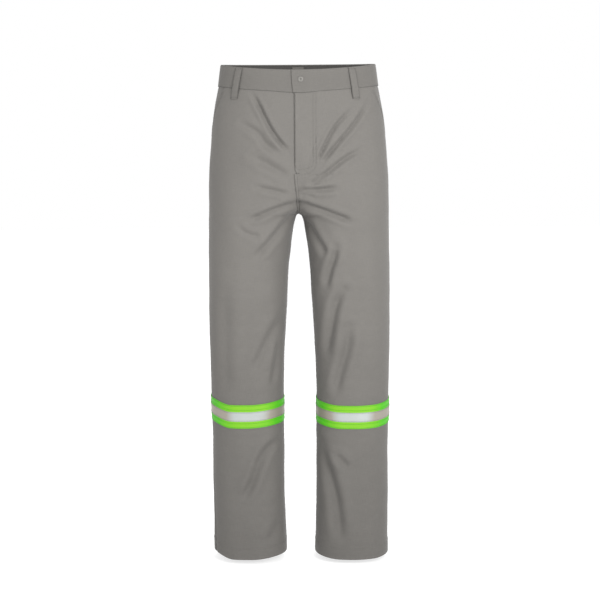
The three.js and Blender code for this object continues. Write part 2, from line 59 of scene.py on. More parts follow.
# ---------- sizes ----------
HEM_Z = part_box("shin_front_left")[0][2]
RISE, INSEAM = 0.312, 0.733
CROTCH_Z = -RISE
ARCH_DEPTH, ARCH_GAP = 0.12, 0.019
FORK_START, FORK_POWER = 0.55, 1.5
OVAL_POWER = 2.4
FRONT_DROP = 0.012
WAISTBAND_HEIGHT = 0.045
HIP_Z = JOINTS["left_hip_swing"]["pos_m"][2]
KNEE_Z = JOINTS["left_knee_fold"]["pos_m"][2]
SPLIT_Z = KNEE_Z + 0.108  # where the upper and the lower cloth of a leg meet
TUCK = 0.004  # how far one cloth runs under the next
CLOTH = 0.0011
FLY_BOTTOM_Z = -0.213
FLY_END_Z = -0.229
FOLD_TOP_X, FOLD_BOTTOM_X = 0.064, 0.008
FLY_OVERLAP = 0.0078
FLAP_REACH = 0.013  # the flap's cloth goes this far past its fold
BAND_BOTTOM_Z, BAND_TOP_Z = (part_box("band_tape_left")[k][2] for k in (0, 1))
STRIP_BOTTOM_Z, STRIP_TOP_Z = (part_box("reflective_strip_left")[k][2] for k in (0, 1))
STITCH = 0.0034  # from one stitch to the next
EDGE_ROW = 0.0035  # from a strap's edge to its stitch row
HEM_DEPTH = 0.025
LOOP_WIDTH, LOOP_LENGTH, LOOP_BOW, LOOP_ROW = 0.0165, 0.064, 0.0017, 0.0022
LOOP_SLANT = {"right": -0.040, "left": 0.028}  # how far its lower end is turned from its top
SIDE_LOOP_X = 0.122
ZIP_TOP_Z, ZIP_BOTTOM_Z = -0.060, -0.208
SNAP_X, SNAP_Z = 0.005, -0.0325
# How each shin hangs: its rise at the outer side and where that starts, from 0 at the middle to 1 at
# the side, the same at the inner side, and its sag in front.
HANG = {-1: (0.009, 0.45, 0.005, 0.0, 0.003), 1: (0.002, 0.6, 0.003, 0.35, 0.0052)}
EDGE_FADE = 0.0035
SLACK = 0.0012  # how far the cloth's sides fall inside the plain body
FALLOFF_SHADE_TOP_Z = -0.45  # the cloth is painted darker from here down: painted shade

# Levels from the waist to the hem: height, half width of the garment, centre plane to the leg's
# inner side, depth in front of the middle plane, depth behind it.
LEVELS = np.array([
    (0.0, 0.1612, 0.0, 0.104, 0.104),
    (-WAISTBAND_HEIGHT, 0.1672, 0.0, 0.106, 0.110),
    (-0.375 * RISE, 0.1795, 0.0, 0.1093, 0.124),
    (-0.7 * RISE, 0.1895, 0.0, 0.113, 0.129),
    (-RISE, 0.1915, 0.0, 0.110, 0.121),
    (-RISE - ARCH_DEPTH * INSEAM, 0.1925, ARCH_GAP, 0.104, 0.106),
    (-RISE - 0.26 * INSEAM, 0.1935, 0.0255, 0.095, 0.093),
    (-RISE - 0.4 * INSEAM, 0.193, 0.0315, 0.085, 0.084),
    (-RISE - 0.545 * INSEAM, 0.191, 0.034, 0.079, 0.084),
    (-RISE - 0.685 * INSEAM, 0.189, 0.0335, 0.075, 0.084),
    (-RISE - 0.82 * INSEAM, 0.1892, 0.0333, 0.076, 0.082),
    (-RISE - INSEAM, 0.1885, 0.0295, 0.080, 0.080),
])
HALF, GAP, FRONT, BACK = 1, 2, 3, 4


def level(column, z):
    """A Hermite curve through the levels, its slope at each the slope between its neighbours."""
    heights, values = LEVELS[:, 0], LEVELS[:, column]
    count = len(heights)
    before, after = np.maximum(np.arange(count) - 1, 0), np.minimum(np.arange(count) + 1, count - 1)
    slope = (values[after] - values[before]) / (heights[after] - heights[before])
    i = np.clip(np.searchsorted(-heights, -np.asarray(z, float), side="right") - 1, 0, count - 2)
    h = heights[i + 1] - heights[i]
    t = np.clip((z - heights[i]) / h, 0, 1)
    return (
        (2 * t**3 - 3 * t**2 + 1) * values[i] + (t**3 - 2 * t**2 + t) * h * slope[i]
        + (3 * t**2 - 2 * t**3) * values[i + 1] + (t**3 - t**2) * h * slope[i + 1]
    )


def oval(z):
    """One side's oval: its centre from the centre plane and its half width. Above the crotch the
    two ovals share their inner part, and below it a gap parts them, which opens as a round arch:
    it grows with the square root of the distance below the crotch."""
    half = level(HALF, z)
    arch = ARCH_GAP * np.sqrt(np.clip((CROTCH_Z - z) / (ARCH_DEPTH * INSEAM), 0, 1))
    gap = np.maximum(level(GAP, z), np.maximum(arch, 0.0002))
    fork = np.clip((z / CROTCH_Z - FORK_START) / (1 - FORK_START), 0, 1) ** FORK_POWER
    legs = z < CROTCH_Z
    centre = np.where(legs, (half + gap) / 2, half * fork / (1 + fork))
    return centre, np.where(legs, (half - gap) / 2, half / (1 + fork))


def unit_oval(angle):
    """The point at an angle on |x|^n + |y|^n = 1."""
    c, s = np.cos(angle), np.sin(angle)
    reach = (np.abs(c) ** OVAL_POWER + np.abs(s) ** OVAL_POWER) ** (-1 / OVAL_POWER)
    return c * reach, s * reach


def unit_height(x):
    """The same curve's height over x, from -1 to 1."""
    return np.clip(1 - np.abs(x) ** OVAL_POWER, 0, 1) ** (1 / OVAL_POWER)


def on_side(side):
    """The skin of one side. The angle is 0 at the outer side, negative over the front and positive
    over the back, and grows in size to the inner edge."""
    def place(angle, z):
        centre, width = oval(z)
        across, along = unit_oval(angle)
        depth = np.where(angle < 0, level(FRONT, z), level(BACK, z))
        hang = droop(side, across, along, z)
        return np.stack([side * (centre + width * across), depth * along, z + hang], -1)
    return place


def droop(side, across, along, z):
    """Below the knee the cloth hangs a little higher at its two sides and lower at its front."""
    outer_lift, outer_from, inner_lift, inner_from, sag = HANG[side]
    lift = outer_lift * smooth((across - outer_from) / (1 - outer_from))
    lift += inner_lift * smooth((-across - inner_from) / (1 - inner_from))
    at_hem = smooth((BAND_BOTTOM_Z - z) / (BAND_BOTTOM_Z - HEM_Z))
    shin = smooth((KNEE_Z + 0.04 - z) / 0.08)
    return shin * (lift - sag * (1 - 0.5 * at_hem) * np.maximum(-along, 0))


def on_waist(turn, z):
    """The waist oval: turn 0 at the centre front, growing to the wearer's left."""
    out, across = unit_oval(turn)
    depth = np.where(out > 0, level(FRONT, z), level(BACK, z))
    return np.stack([level(HALF, z) * across, -depth * out, z], -1)


def on_front(x, z):
    """The front skin at x, for pieces that cross the centre."""
    centre, width = oval(z)
    return np.stack([x, -level(FRONT, z) * unit_height((np.abs(x) - centre) / width), z], -1)


def angle_at(x, z):
    """The size of the angle at which a side's skin crosses x, whose sign is taken off."""
    centre, width = oval(z)
    share = np.clip((x - centre) / width, -1, 1)
    return np.arctan2(unit_height(share), share)


def turn_at(x, z=0.0):
    """The turn at which the front of the waist oval crosses x."""
    share = x / level(HALF, z)
    return np.arctan2(share, unit_height(share))


def inner_angle(z):
    """A panel's last angle: at its centre seam, and below the crotch at its inseam."""
    return np.where(z > CROTCH_Z, angle_at(0.0, z), np.pi)


def side_seam(side):
    """The angle of the side seam. It starts at the side, and creeps forwards down the right leg and
    backwards down the left."""
    def angle(z):
        down = smooth((z - (KNEE_Z - 0.05)) / (HEM_Z - KNEE_Z))
        return (-0.5 if side < 0 else 0.12) * down
    return angle


def fold_x(z):
    """The line that the fly's flap folds along, straight from the waist to the fly's lower end."""
    return FOLD_TOP_X + (FOLD_BOTTOM_X - FOLD_TOP_X) * z / FLY_BOTTOM_Z


def waist_top(turn):
    """The waistband's top edge: lower at the centre front, and a little at the sides."""
    at_side = bell((np.abs(turn) - np.pi / 2) / 0.17)
    return -FRONT_DROP * np.maximum(np.cos(turn), 0) ** 2 - 0.0022 * at_side


def smooth(t):
    """From 0 to 1 as t does, level at both ends: 3 t squared less 2 t cubed."""
    t = np.clip(t, 0, 1)
    return t * t * (3 - 2 * t)


def bell(t):
    """1 at the middle, falling away on both sides: e to the power of minus t squared."""
    return np.exp(-t * t)


# ---------- folds ----------
# Each fold: its line in (x, z), and its depth and half width in millimetres.
FRONT_FOLDS = [
    ([(-0.097, -0.058), (-0.085, -0.077), (-0.060, -0.130), (-0.037, -0.163), (-0.012, -0.186)], 4.0, 5),
    ([(-0.119, -0.121), (-0.085, -0.138), (-0.068, -0.167), (-0.037, -0.185)], 2.6, 7),
    ([(-0.094, -0.191), (-0.055, -0.210), (-0.016, -0.236)], 3.0, 9),
    ([(-0.089, -0.251), (-0.017, -0.269)], 2.2, 6),
    ([(-0.002, -0.286), (-0.055, -0.301), (-0.110, -0.324)], 3.2, 6.5),
    ([(-0.012, -0.312), (-0.044, -0.350), (-0.068, -0.375), (-0.096, -0.404)], 4.2, 8),
    ([(-0.125, -0.334), (-0.107, -0.350), (-0.076, -0.356)], 1.6, 6),
    ([(-0.032, -0.521), (-0.051, -0.551), (-0.074, -0.595), (-0.103, -0.648)], 4.0, 11),
    ([(-0.045, -0.572), (-0.048, -0.625), (-0.060, -0.680)], 3.4, 7),
    ([(-0.159, -0.470), (-0.156, -0.700)], 3.0, 15),
    ([(0.146, -0.078), (0.119, -0.121), (0.088, -0.156), (0.066, -0.182), (0.036, -0.214)], 3.5, 4.6),
    ([(0.109, -0.095), (0.076, -0.127), (0.053, -0.169), (0.033, -0.214)], 3.0, 4.3),
    ([(0.130, -0.178), (0.096, -0.193), (0.061, -0.222), (0.018, -0.250)], 3.4, 5.5),
    ([(0.025, -0.247), (0.061, -0.239)], 2.0, 5),
    ([(0.0, -0.261), (0.035, -0.259), (0.086, -0.255)], 3.2, 6),
    ([(0.001, -0.268), (0.035, -0.273)], 2.0, 5),
    ([(0.001, -0.286), (0.035, -0.298), (0.073, -0.310), (0.118, -0.329)], 4.0, 6.5),
    ([(0.012, -0.322), (0.040, -0.371), (0.059, -0.400)], 5.0, 8),
    ([(0.076, -0.378), (0.072, -0.400), (0.060, -0.430), (0.051, -0.470)], 5.0, 8),
    ([(0.092, -0.467), (0.074, -0.496), (0.064, -0.548), (0.051, -0.620)], 5.5, 10),
    ([(0.103, -0.548), (0.101, -0.593), (0.085, -0.637), (0.070, -0.700)], 5.0, 10),
    ([(-0.040, -0.790), (-0.072, -0.808), (-0.090, -0.845), (-0.104, -0.885), (-0.128, -0.925)], 4.4, 9),
    ([(-0.043, -0.966), (-0.071, -1.013)], 2.0, 10),
    ([(0.040, -0.800), (0.054, -0.850), (0.070, -0.898), (0.079, -0.955), (0.084, -1.020)], 6.0, 12),
    ([(0.074, -0.822), (0.102, -0.850)], 3.0, 8),
]
BACK_FOLDS = [
    ([(0.008, -0.300), (0.060, -0.330), (0.120, -0.338), (0.165, -0.322)], 4.6, 8),
    ([(0.016, -0.334), (0.060, -0.362), (0.125, -0.372)], 3.4, 8),
    ([(0.010, -0.262), (0.055, -0.282), (0.100, -0.300)], 3.0, 8),
    ([(0.030, -0.360), (0.062, -0.420), (0.080, -0.480)], 3.0, 11),
    ([(0.045, -0.560), (0.100, -0.584), (0.165, -0.566)], 4.2, 8),
    ([(0.050, -0.596), (0.105, -0.612), (0.160, -0.602)], 3.6, 8),
    ([(0.060, -0.630), (0.110, -0.650), (0.150, -0.640)], 2.4, 8),
    ([(0.150, -0.110), (0.120, -0.175), (0.090, -0.215)], 2.0, 9),
    ([(0.060, -0.800), (0.105, -0.870), (0.125, -0.950)], 3.4, 14),
]
MM = 0.001
FOLD_DEPTH, FOLD_WIDTH = 1.45, 0.88


def rounded_line(points):
    """Corners cut three times by Chaikin's rule."""
    line = np.array(points, float)
    for _ in range(3):
        a, b = line[:-1], line[1:]
        cut = np.stack([0.75 * a + 0.25 * b, 0.25 * a + 0.75 * b], 1).reshape(-1, 2)
        line = np.concatenate([line[:1], cut, line[-1:]])
    return line


def fold_height(x, z, points, depth, width):
    """A valley along a line, -d bell(r/w), between two soft banks, fading at the line's ends."""
    depth, width = depth * FOLD_DEPTH, width * FOLD_WIDTH
    line = rounded_line(points)
    low, high = line.min(0) - 5 * width, line.max(0) + 5 * width
    near = (x > low[0]) & (x < high[0]) & (z > low[1]) & (z < high[1])
    height = np.zeros_like(x)
    if not near.any():
        return height
    p = np.stack([x[near], z[near]], -1)
    a, run = line[:-1], np.diff(line, axis=0)
    length = np.linalg.norm(run, axis=1)
    along = np.clip(((p[:, None] - a) * run).sum(-1) / length**2, 0, 1)
    apart = np.linalg.norm(p[:, None] - (a + along[..., None] * run), axis=-1)
    nearest = apart.argmin(1)
    rows = np.arange(len(p))
    r = apart[rows, nearest] / width
    start = np.concatenate([[0], np.cumsum(length)])
    t = (start[nearest] + along[rows, nearest] * length[nearest]) / start[-1]
    fade = (0.35 + 0.65 * smooth(t / 0.2)) * smooth((1 - t) / 0.25)
    height[near] = depth * fade * (0.5 * bell((r - 2.0) / 1.1) - bell(r))
    return height


def drift(p):
    """The slow unevenness of hanging cloth: a few sine waves that run across each other."""
    x, y, z = p[..., 0], p[..., 1], p[..., 2]
    side = np.tanh(x / 0.04)
    long = np.sin(31 * x + 17 * z + 1.3 * side) * np.sin(23 * z - 19 * y + 0.7)
    short = np.sin(67 * x - 43 * z + 11 * y + 2.1 * side) * np.sin(59 * z + 37 * x + 0.4)
    fine = np.sin(140 * z + 90 * x + side) * np.sin(75 * x - 120 * z + 31 * y)
    return MM * (1.3 * long + 0.8 * short + 0.28 * fine)


def relief(p, normal):
    """How far the cloth stands off the plain body: its folds where it faces them, and its drift."""
    x, z = p[..., 0], p[..., 2]
    facing_front = smooth((0.25 - normal[..., 1]) / 0.6)
    facing_back = smooth((0.25 + normal[..., 1]) / 0.6)
    height = np.zeros_like(x)
    for line, depth, width in FRONT_FOLDS:
        height += facing_front * fold_height(x, z, line, depth * MM, width * MM)
    for number, (line, depth, width) in enumerate(BACK_FOLDS):
        shift = 0.004 * math.sin(2.4 * number)
        for side in (-1, 1):
            moved = [(side * (px + side * shift), pz + side * shift) for px, pz in line]
            height += facing_back * fold_height(x, z, moved, depth * MM, width * MM)
    # The fly and the waistband hold it flat, and the sides have shallower folds than the faces.
    height *= 1 - 0.9 * facing_front * bell(x / 0.017) * smooth((z - FLY_BOTTOM_Z) / 0.02)
    free = smooth((-0.047 - z) / 0.03) * (1 - 0.65 * normal[..., 0] ** 2)
    return free * (height + drift(p)) - SLACK * smooth((-0.1 - z) / 0.1) * normal[..., 0] ** 2


def skin(place, a, z, out=0.0, folds=1.0):
    """A point of a skin: the plain body's point, moved along its normal by the folds and by out.
    At the centre plane the normal keeps to that plane, so that both sides meet there."""
    step = 1e-4
    p = place(a, z)
    normal = np.cross(place(a + step, z) - place(a - step, z), place(a, z + step) - place(a, z - step))
    centre = np.where(z < CROTCH_Z + 0.1, np.sign(p[..., 0]) * oval(z)[0], 0.0)
    inward = p - np.stack([centre, np.zeros_like(z), z], -1)
    normal *= np.sign((normal * inward).sum(-1, keepdims=True))
    normal[..., 0] *= np.where(z > CROTCH_Z - 0.001, smooth(np.abs(p[..., 0]) / 0.008), 1.0)
    normal /= np.linalg.norm(normal, axis=-1, keepdims=True) + 1e-12
    lift = relief(p, normal) * folds + out
    return p + normal * np.asarray(lift)[..., None]


# ---------- meshes ----------
def turn_out(mesh):
    """Turns a closed mesh's faces outwards by the sign of its volume."""
    mesh.calc_loop_triangles()
    points = np.empty(3 * len(mesh.vertices))
    mesh.vertices.foreach_get("co", points)
    corner = np.empty(3 * len(mesh.loop_triangles), int)
    mesh.loop_triangles.foreach_get("vertices", corner)
    p = points.reshape(-1, 3)[corner.reshape(-1, 3)]
    if (np.cross(p[:, 0], p[:, 1]) * p[:, 2]).sum() < 0:
        mesh.flip_normals()


def new_piece(name, points, faces, finish, uv=None, edge=None, sharp=50):
    """A mesh object from points and faces of a closed shape, turned the right way out."""
    mesh = bpy.data.meshes.new(name)
    mesh.from_pydata(points.tolist(), [], [list(face) for face in faces])
    turn_out(mesh)
    if uv is not None:
        layer = mesh.uv_layers.new(name="cloth")
        corner = np.empty(len(mesh.loops), int)
        mesh.loops.foreach_get("vertex_index", corner)
        layer.data.foreach_set("uv", uv[corner].ravel().astype(np.float32))
    if edge is not None:
        fade = mesh.attributes.new("edge", "FLOAT", "POINT")
        fade.data.foreach_set("value", edge.astype(np.float32))
    mesh.shade_smooth()
    mesh.set_sharp_from_angle(angle=math.radians(sharp))
    mesh.materials.append(finish)
    piece = bpy.data.objects.new(name, mesh)
    bpy.context.scene.collection.objects.link(piece)
    return piece


def grid_faces(rows, columns, wrap=False):
    """Quads of a grid of points, rows by columns; wrap joins the last column to the first."""
    steps = columns if wrap else columns - 1
    j, i = np.meshgrid(np.arange(rows - 1), np.arange(steps), indexing="ij")
    k = (i + 1) % columns
    above, below = j * columns, (j + 1) * columns
    return np.stack([above + i, above + k, below + k, below + i], -1).reshape(-1, 4)


def end_caps(rings, size):
    """Quads that close a tube of rings at both ends, each between the two halves of its ring."""
    i = np.arange(size // 2 - 1)
    cap = np.stack([i, size - 1 - i, size - 2 - i, i + 1], -1)
    return np.concatenate([cap, cap[:, ::-1] + (rings - 1) * size])


def tube_faces(rings, size):
    """A closed tube of rings of points, with its two ends."""
    return np.concatenate([grid_faces(rings, size, wrap=True), end_caps(rings, size)])


def slab(name, place, columns, rows, outer, inner, finish, stretch=None, sewn="lrtb"):
    """A closed sheet: place(u, v, out) at two distances out, joined round its border. u and v run
    from 0 to 1, and stretch, if given, spaces v. The cloth map holds lengths along the sheet, and
    the edge attribute is 1 at the sewn borders (left, right, top, bottom), fading with distance."""
    u = np.linspace(0, 1, columns)
    v = np.linspace(0, 1, rows)
    u, v = np.meshgrid(u, v if stretch is None else stretch(v))
    faces_out, faces_in = place(u, v, outer), place(u, v, inner)
    points = np.concatenate([faces_out.reshape(-1, 3), faces_in.reshape(-1, 3)])
    size = rows * columns
    index = np.arange(size).reshape(rows, columns)
    border = np.concatenate([index[0, :-1], index[:-1, -1], index[-1, :0:-1], index[:0:-1, 0]])
    after = np.roll(border, -1)
    rim = np.stack([after, border, border + size, after + size], -1)
    quads = grid_faces(rows, columns)
    faces = np.concatenate([quads, quads[:, ::-1] + size, rim])
    across = np.linalg.norm(np.diff(faces_out, axis=1), axis=-1)
    down = np.linalg.norm(np.diff(faces_out, axis=0), axis=-1).mean(1)
    a = np.concatenate([np.zeros((rows, 1)), np.cumsum(across, 1)], 1)
    b = np.broadcast_to(np.concatenate([[0], np.cumsum(down)])[:, None], a.shape)
    uv = np.stack([a - a[:, -1:] / 2, -b], -1).reshape(-1, 2)
    borders = {"l": a, "r": a[:, -1:] - a, "t": b, "b": b[-1, 0] - b}
    off = np.min([borders[letter] for letter in sewn], axis=0).reshape(-1)
    edge = np.exp(-off / EDGE_FADE)
    return new_piece(name, points, faces, finish, np.tile(uv, (2, 1)), np.tile(edge, 2))


def strap(name, place, steps, profile, finish):
    """A profile of (across, out) pairs, carried along a path: place(t, across, out), t from 0 to 1.
    The ends are closed by quads between the profile's two halves."""
    across, out = np.array(profile).T
    grid = (steps, len(across))
    t = np.broadcast_to(np.linspace(0, 1, steps)[:, None], grid)
    across_all = np.broadcast_to(across, grid)
    points = place(t, across_all, np.broadcast_to(out, grid))
    down = np.linalg.norm(np.diff(points, axis=0), axis=-1).mean(1)
    length = np.concatenate([[0], np.cumsum(down)])
    uv = np.stack([np.broadcast_to(length[:, None], grid), across_all], -1).reshape(-1, 2)
    off = np.minimum(across - across.min(), across.max() - across)
    edge = np.tile(np.exp(-off / EDGE_FADE), steps)
    return new_piece(name, points.reshape(-1, 3), tube_faces(*grid), finish, uv, edge)


def strap_profile(width, low, high, rows=(EDGE_ROW,), pillow=0.0004, count=21):
    """A flat strap's section: width across, from low to high out, round at its edges, a little
    proud between its stitch rows and pulled in at them."""
    t = np.linspace(0, 1, count)
    across = width * (0.5 - 0.5 * np.cos(np.pi * t))
    middle, half = (low + high) / 2, (high - low) / 2
    from_edge = np.clip(np.minimum(across, width - across) / half, 0, 1)
    round_edge = np.sqrt(1 - (1 - from_edge) ** 2)
    dip = sum(bell((across - r) / 0.0011) + bell((across - (width - r)) / 0.0011) for r in rows)
    top = middle + half * round_edge + pillow * (np.sin(np.pi * t) - dip) * round_edge
    under = middle - half * round_edge
    upper, lower = np.stack([across, top], -1), np.stack([across, under], -1)
    return np.concatenate([upper[1:-1], lower[-2:0:-1]])


def blocks(name, points, finish, sharp):
    """Many small closed blocks at once, each four rings of four points."""
    rings, size = 4, 4
    one = tube_faces(rings, size)
    start = rings * size * np.arange(len(points))
    faces = (one[None] + start[:, None, None]).reshape(-1, 4)
    return new_piece(name, points.reshape(-1, 3), faces, finish, sharp=sharp)


def stitches(name, rows, finish, thread=0.00032):
    """Rows of stitches. Each row is a pair of arrays, points on the cloth and its outward normals.
    A stitch is a small spindle: four rings of four points, the outer two small and sunk in."""
    starts, ends, ups = [], [], []
    for line, normal in rows:
        run = np.concatenate([[0], np.cumsum(np.linalg.norm(np.diff(line, axis=0), axis=1))])
        count = max(int(run[-1] / STITCH), 1)
        first = np.arange(count) * run[-1] / count
        for gather, at in ((starts, first), (ends, first + 0.76 * STITCH)):
            gather.append(np.stack([np.interp(at, run, line[:, k]) for k in range(3)], -1))
        ups.append(np.stack([np.interp(first, run, normal[:, k]) for k in range(3)], -1))
    a, b, up = (np.concatenate(part) for part in (starts, ends, ups))
    sideways = np.cross(b - a, up)
    sideways /= np.linalg.norm(sideways, axis=1, keepdims=True) + 1e-12
    rings = []
    for share, size, proud in ((0, 0.35, -0.3), (0.25, 1, 0.35), (0.75, 1, 0.35), (1, 0.35, -0.3)):
        centre = a + share * (b - a) + up * thread * proud
        for s, n in ((1, 0), (0, 1), (-1, 0), (0, -1)):
            rings.append(centre + thread * size * (s * sideways + n * up))
    return blocks(name, np.stack(rings, 1), finish, sharp=180)


def row_on(place, a, z, out=0.0002):
    """A stitch row: points of a skin along a and z, arrays or one number each, with normals."""
    a, z = np.broadcast_arrays(np.asarray(a, float), np.asarray(z, float))
    line = place(a, z, out)
    normal = place(a, z, out + 0.001) - line
    return line, normal / np.linalg.norm(normal, axis=1, keepdims=True)


def turned(name, profile, finish, place, steps=48):
    """A profile of (radius, height) pairs from the axis to the axis, turned about it."""
    radius, height = np.array(profile[1:-1]).T
    turn = np.linspace(0, 2 * np.pi, steps, endpoint=False)[:, None]
    heights = np.broadcast_to(height, (steps, len(height)))
    ring = np.stack([radius * np.cos(turn), radius * np.sin(turn), heights], -1)
    points = np.concatenate([ring.reshape(-1, 3), [(0, 0, profile[0][1]), (0, 0, profile[-1][1])]])
    count = len(radius)
    quads = grid_faces(steps + 1, count) % (steps * count)
    i = np.arange(steps)
    k = (i + 1) % steps
    low = np.stack([k * count, i * count, np.full(steps, steps * count)], -1)
    high = np.stack([i * count + count - 1, k * count + count - 1, np.full(steps, steps * count + 1)], -1)
    faces = quads.tolist() + low.tolist() + high.tolist()
    return new_piece(name, place(points), faces, finish, sharp=35)


def bar(name, place, length, half_width, low, high, finish, steps=25, ring=24):
    """A flat bar with rounded faces: along its length, sections |x/w|^4 + |y/h|^4 = 1 that shrink to
    nothing at both ends. half_width is a function of the share of the length."""
    t = np.linspace(0, np.pi, steps)
    along = 0.5 - 0.5 * np.cos(t)
    size = np.maximum(1 - np.abs(2 * along - 1) ** 8, 1e-4) ** 0.25
    a = np.linspace(0, 2 * np.pi, ring, endpoint=False)
    c, s = np.cos(a), np.sin(a)
    reach = (np.abs(c) ** 4 + np.abs(s) ** 4) ** -0.25
    x = (half_width(along) * size)[:, None] * (c * reach)
    out = (low + high) / 2 + (high - low) / 2 * size[:, None] * (s * reach)
    down = np.broadcast_to((along * length)[:, None], x.shape)
    points = np.stack([x, out, down], -1).reshape(-1, 3)
    return new_piece(name, place(points), tube_faces(steps, ring), finish, sharp=40)


# ---------- finishes ----------
class Value:
    """A shader socket that takes part in arithmetic: each operator adds a Math node."""

    def __init__(self, tree, socket):
        self.tree, self.socket = tree, socket

    def math(self, operation, other=None, swap=False):
        node = self.tree.nodes.new("ShaderNodeMath")
        node.operation = operation
        pair = (other, self) if swap else (self, other)
        for socket, value in zip(node.inputs, pair):
            put(self.tree, socket, value)
        return Value(self.tree, node.outputs[0])

    def __add__(self, other):
        return self.math("ADD", other)

    def __sub__(self, other):
        return self.math("SUBTRACT", other)

    def __rsub__(self, other):
        return self.math("SUBTRACT", other, swap=True)

    def __mul__(self, other):
        return self.math("MULTIPLY", other)

    __radd__, __rmul__ = __add__, __mul__

    def sine(self):
        return self.math("SINE")

    def absolute(self):
        return self.math("ABSOLUTE")


def put(tree, socket, value):
    """Gives a socket a value or a link."""
    if value is None:
        return
    if isinstance(value, Value):
        tree.links.new(value.socket, socket)
    else:
        socket.default_value = value


class Finish:
    """A material: node() adds any node, and shader() sets the surface."""

    def __init__(self, name):
        self.material = bpy.data.materials.new(name)
        self.material.use_nodes = True
        self.tree = self.material.node_tree
        self.surface = next(n for n in self.tree.nodes if n.type == "BSDF_PRINCIPLED")

    def node(self, kind, settings=None, output=0, **inputs):
        """Adds a node. Its sockets are given by name, or by number as _0, _1 and so on."""
        node = self.tree.nodes.new("ShaderNode" + kind)
        for key, value in (settings or {}).items():
            setattr(node, key, value)
        for key, value in inputs.items():
            name = int(key[1:]) if key[0] == "_" else key.replace("_", " ")
            put(self.tree, node.inputs[name], value)
        return Value(self.tree, node.outputs[output])

    def mix(self, factor, a, b):
        """Between two colours, each a value or three numbers."""
        a, b = (colour if isinstance(colour, Value) else (*colour, 1) for colour in (a, b))
        return self.node("Mix", {"data_type": "RGBA"}, output=2, _0=factor, _6=a, _7=b)

    def bump(self, height, distance, strength=1.0):
        return self.node("Bump", Height=height, Distance=distance, Strength=strength)

    def shader(self, **inputs):
        for key, value in inputs.items():
            put(self.tree, self.surface.inputs[key.replace("_", " ")], value)
        return self.material


def noise(f, vector, scale, detail=2.0, rough=0.5):
    """Soft random noise, between 0 and 1."""
    return f.node("TexNoise", Vector=vector, Scale=scale, Detail=detail, Roughness=rough)


def scaled(f, vector, x, y):
    """A vector with its first two parts multiplied, so that a pattern is drawn out."""
    return f.node("VectorMath", {"operation": "MULTIPLY"}, _0=vector, _1=(x, y, 1))


def shades(colour, darker, paler):
    """Two shades of a colour, for a mix."""
    return tuple(c * darker for c in colour), tuple(min(c * paler, 1) for c in colour)


def cloth_map(f):
    """The cloth map as a vector, and its two lengths as values."""
    cloth = f.node("UVMap", {"uv_map": "cloth"})
    return cloth, *(f.node("SeparateXYZ", output=k, Vector=cloth) for k in (0, 1))


def woven(name, colour, pitch=0.0007, depth=0.00012, melange=0.10, sheen=0.12, wear=0.18, rough=0.86,
          falloff_shade=0.0):
    """Woven cloth on the cloth map, whose lengths are metres: a two-and-one twill, yarns of uneven
    shade that run both ways, slow clouding, paler rubbed edges with a dark line right along each
    sewn edge (painted shade, partly grime), and painted shade that deepens towards the hem."""
    f = Finish(name)
    cloth, x, y = cloth_map(f)
    warp = (x * (2 * math.pi / pitch)).sine()
    weft = (y * (2 * math.pi / pitch)).sine()
    twill = ((x + y) * (math.pi / pitch)).sine()
    weave = warp * 0.35 + weft * 0.25 + twill * 0.4
    yarn_down = noise(f, scaled(f, cloth, 1300, 60), 1.0, 1.0)
    yarn_across = noise(f, scaled(f, cloth, 60, 1300), 1.0, 1.0)
    place = f.node("TexCoord", output=3)
    cloud = noise(f, place, 9.0, 4.0, 0.6)
    rubbed = noise(f, place, 160.0, 3.0)
    edge = f.node("Attribute", {"attribute_name": "edge"}, output=2)
    height_up = f.node("SeparateXYZ", output=2, Vector=place)
    # Darker towards the hem: painted shade, for the light falling off lower down.
    falloff_darkening = (FALLOFF_SHADE_TOP_Z - height_up).math("MAXIMUM", 0.0) * falloff_shade
    shade = (yarn_down + yarn_across - 1) * (2.2 * melange) + weave * 0.05
    shade += (cloud - 0.5) * 0.16 - falloff_darkening
    base = f.mix(shade + 0.5, *shades(colour, 0.62, 1.42))
    base = f.mix(edge * (rubbed * 1.4 - 0.2) * wear, base, tuple(min(c * 1.7 + 0.02, 1) for c in colour))
    # A dark line right along each sewn edge: painted shade in the seam, partly grime.
    base = f.mix((edge - 0.60) * 2.2, base, tuple(c * 0.5 for c in colour))
    height = weave * 0.5 + (yarn_down + yarn_across) * 0.6 + rubbed * 0.5
    return f.shader(Base_Color=base, Roughness=(cloud * 0.1) + (rough - 0.05),
                    Normal=f.bump(height, depth, 0.8), Sheen_Weight=sheen, Sheen_Roughness=0.4,
                    Specular_IOR_Level=0.25)


def lime_tape():
    """Fluorescent warp-knit tape: fine ribs along its length, and a faint glow of its own."""
    f = Finish("lime_tape")
    _, x, y = cloth_map(f)
    rib = (y * (2 * math.pi / 0.0011)).sine() * 0.6 + (x * (2 * math.pi / 0.0014)).sine() * 0.4
    place = f.node("TexCoord", output=3)
    cloud = noise(f, place, 30.0, 4.0)
    edge = f.node("Attribute", {"attribute_name": "edge"}, output=2)
    out_from_middle = f.node("SeparateXYZ", output=1, Vector=place).absolute()
    # Paler over the front and back of the leg and darker at its sides: painted shade.
    shade = rib * 0.10 + (cloud - 0.5) * 0.5 + (out_from_middle - 0.066) * 45 + 0.5
    base = f.mix(shade, (0.040, 0.300, 0.001), (0.128, 0.315, 0.005))
    # Darker along the tape's sewn edges: painted shade.
    base = f.mix(edge * 0.35, base, (0.045, 0.22, 0.004))
    return f.shader(Base_Color=base, Roughness=cloud * 0.2 + 0.45, Normal=f.bump(rib + cloud, 0.00015, 0.7),
                    Emission_Color=(0.22, 0.95, 0.03, 1), Emission_Strength=0.10, Sheen_Weight=0.04,
                    Specular_IOR_Level=0.3)


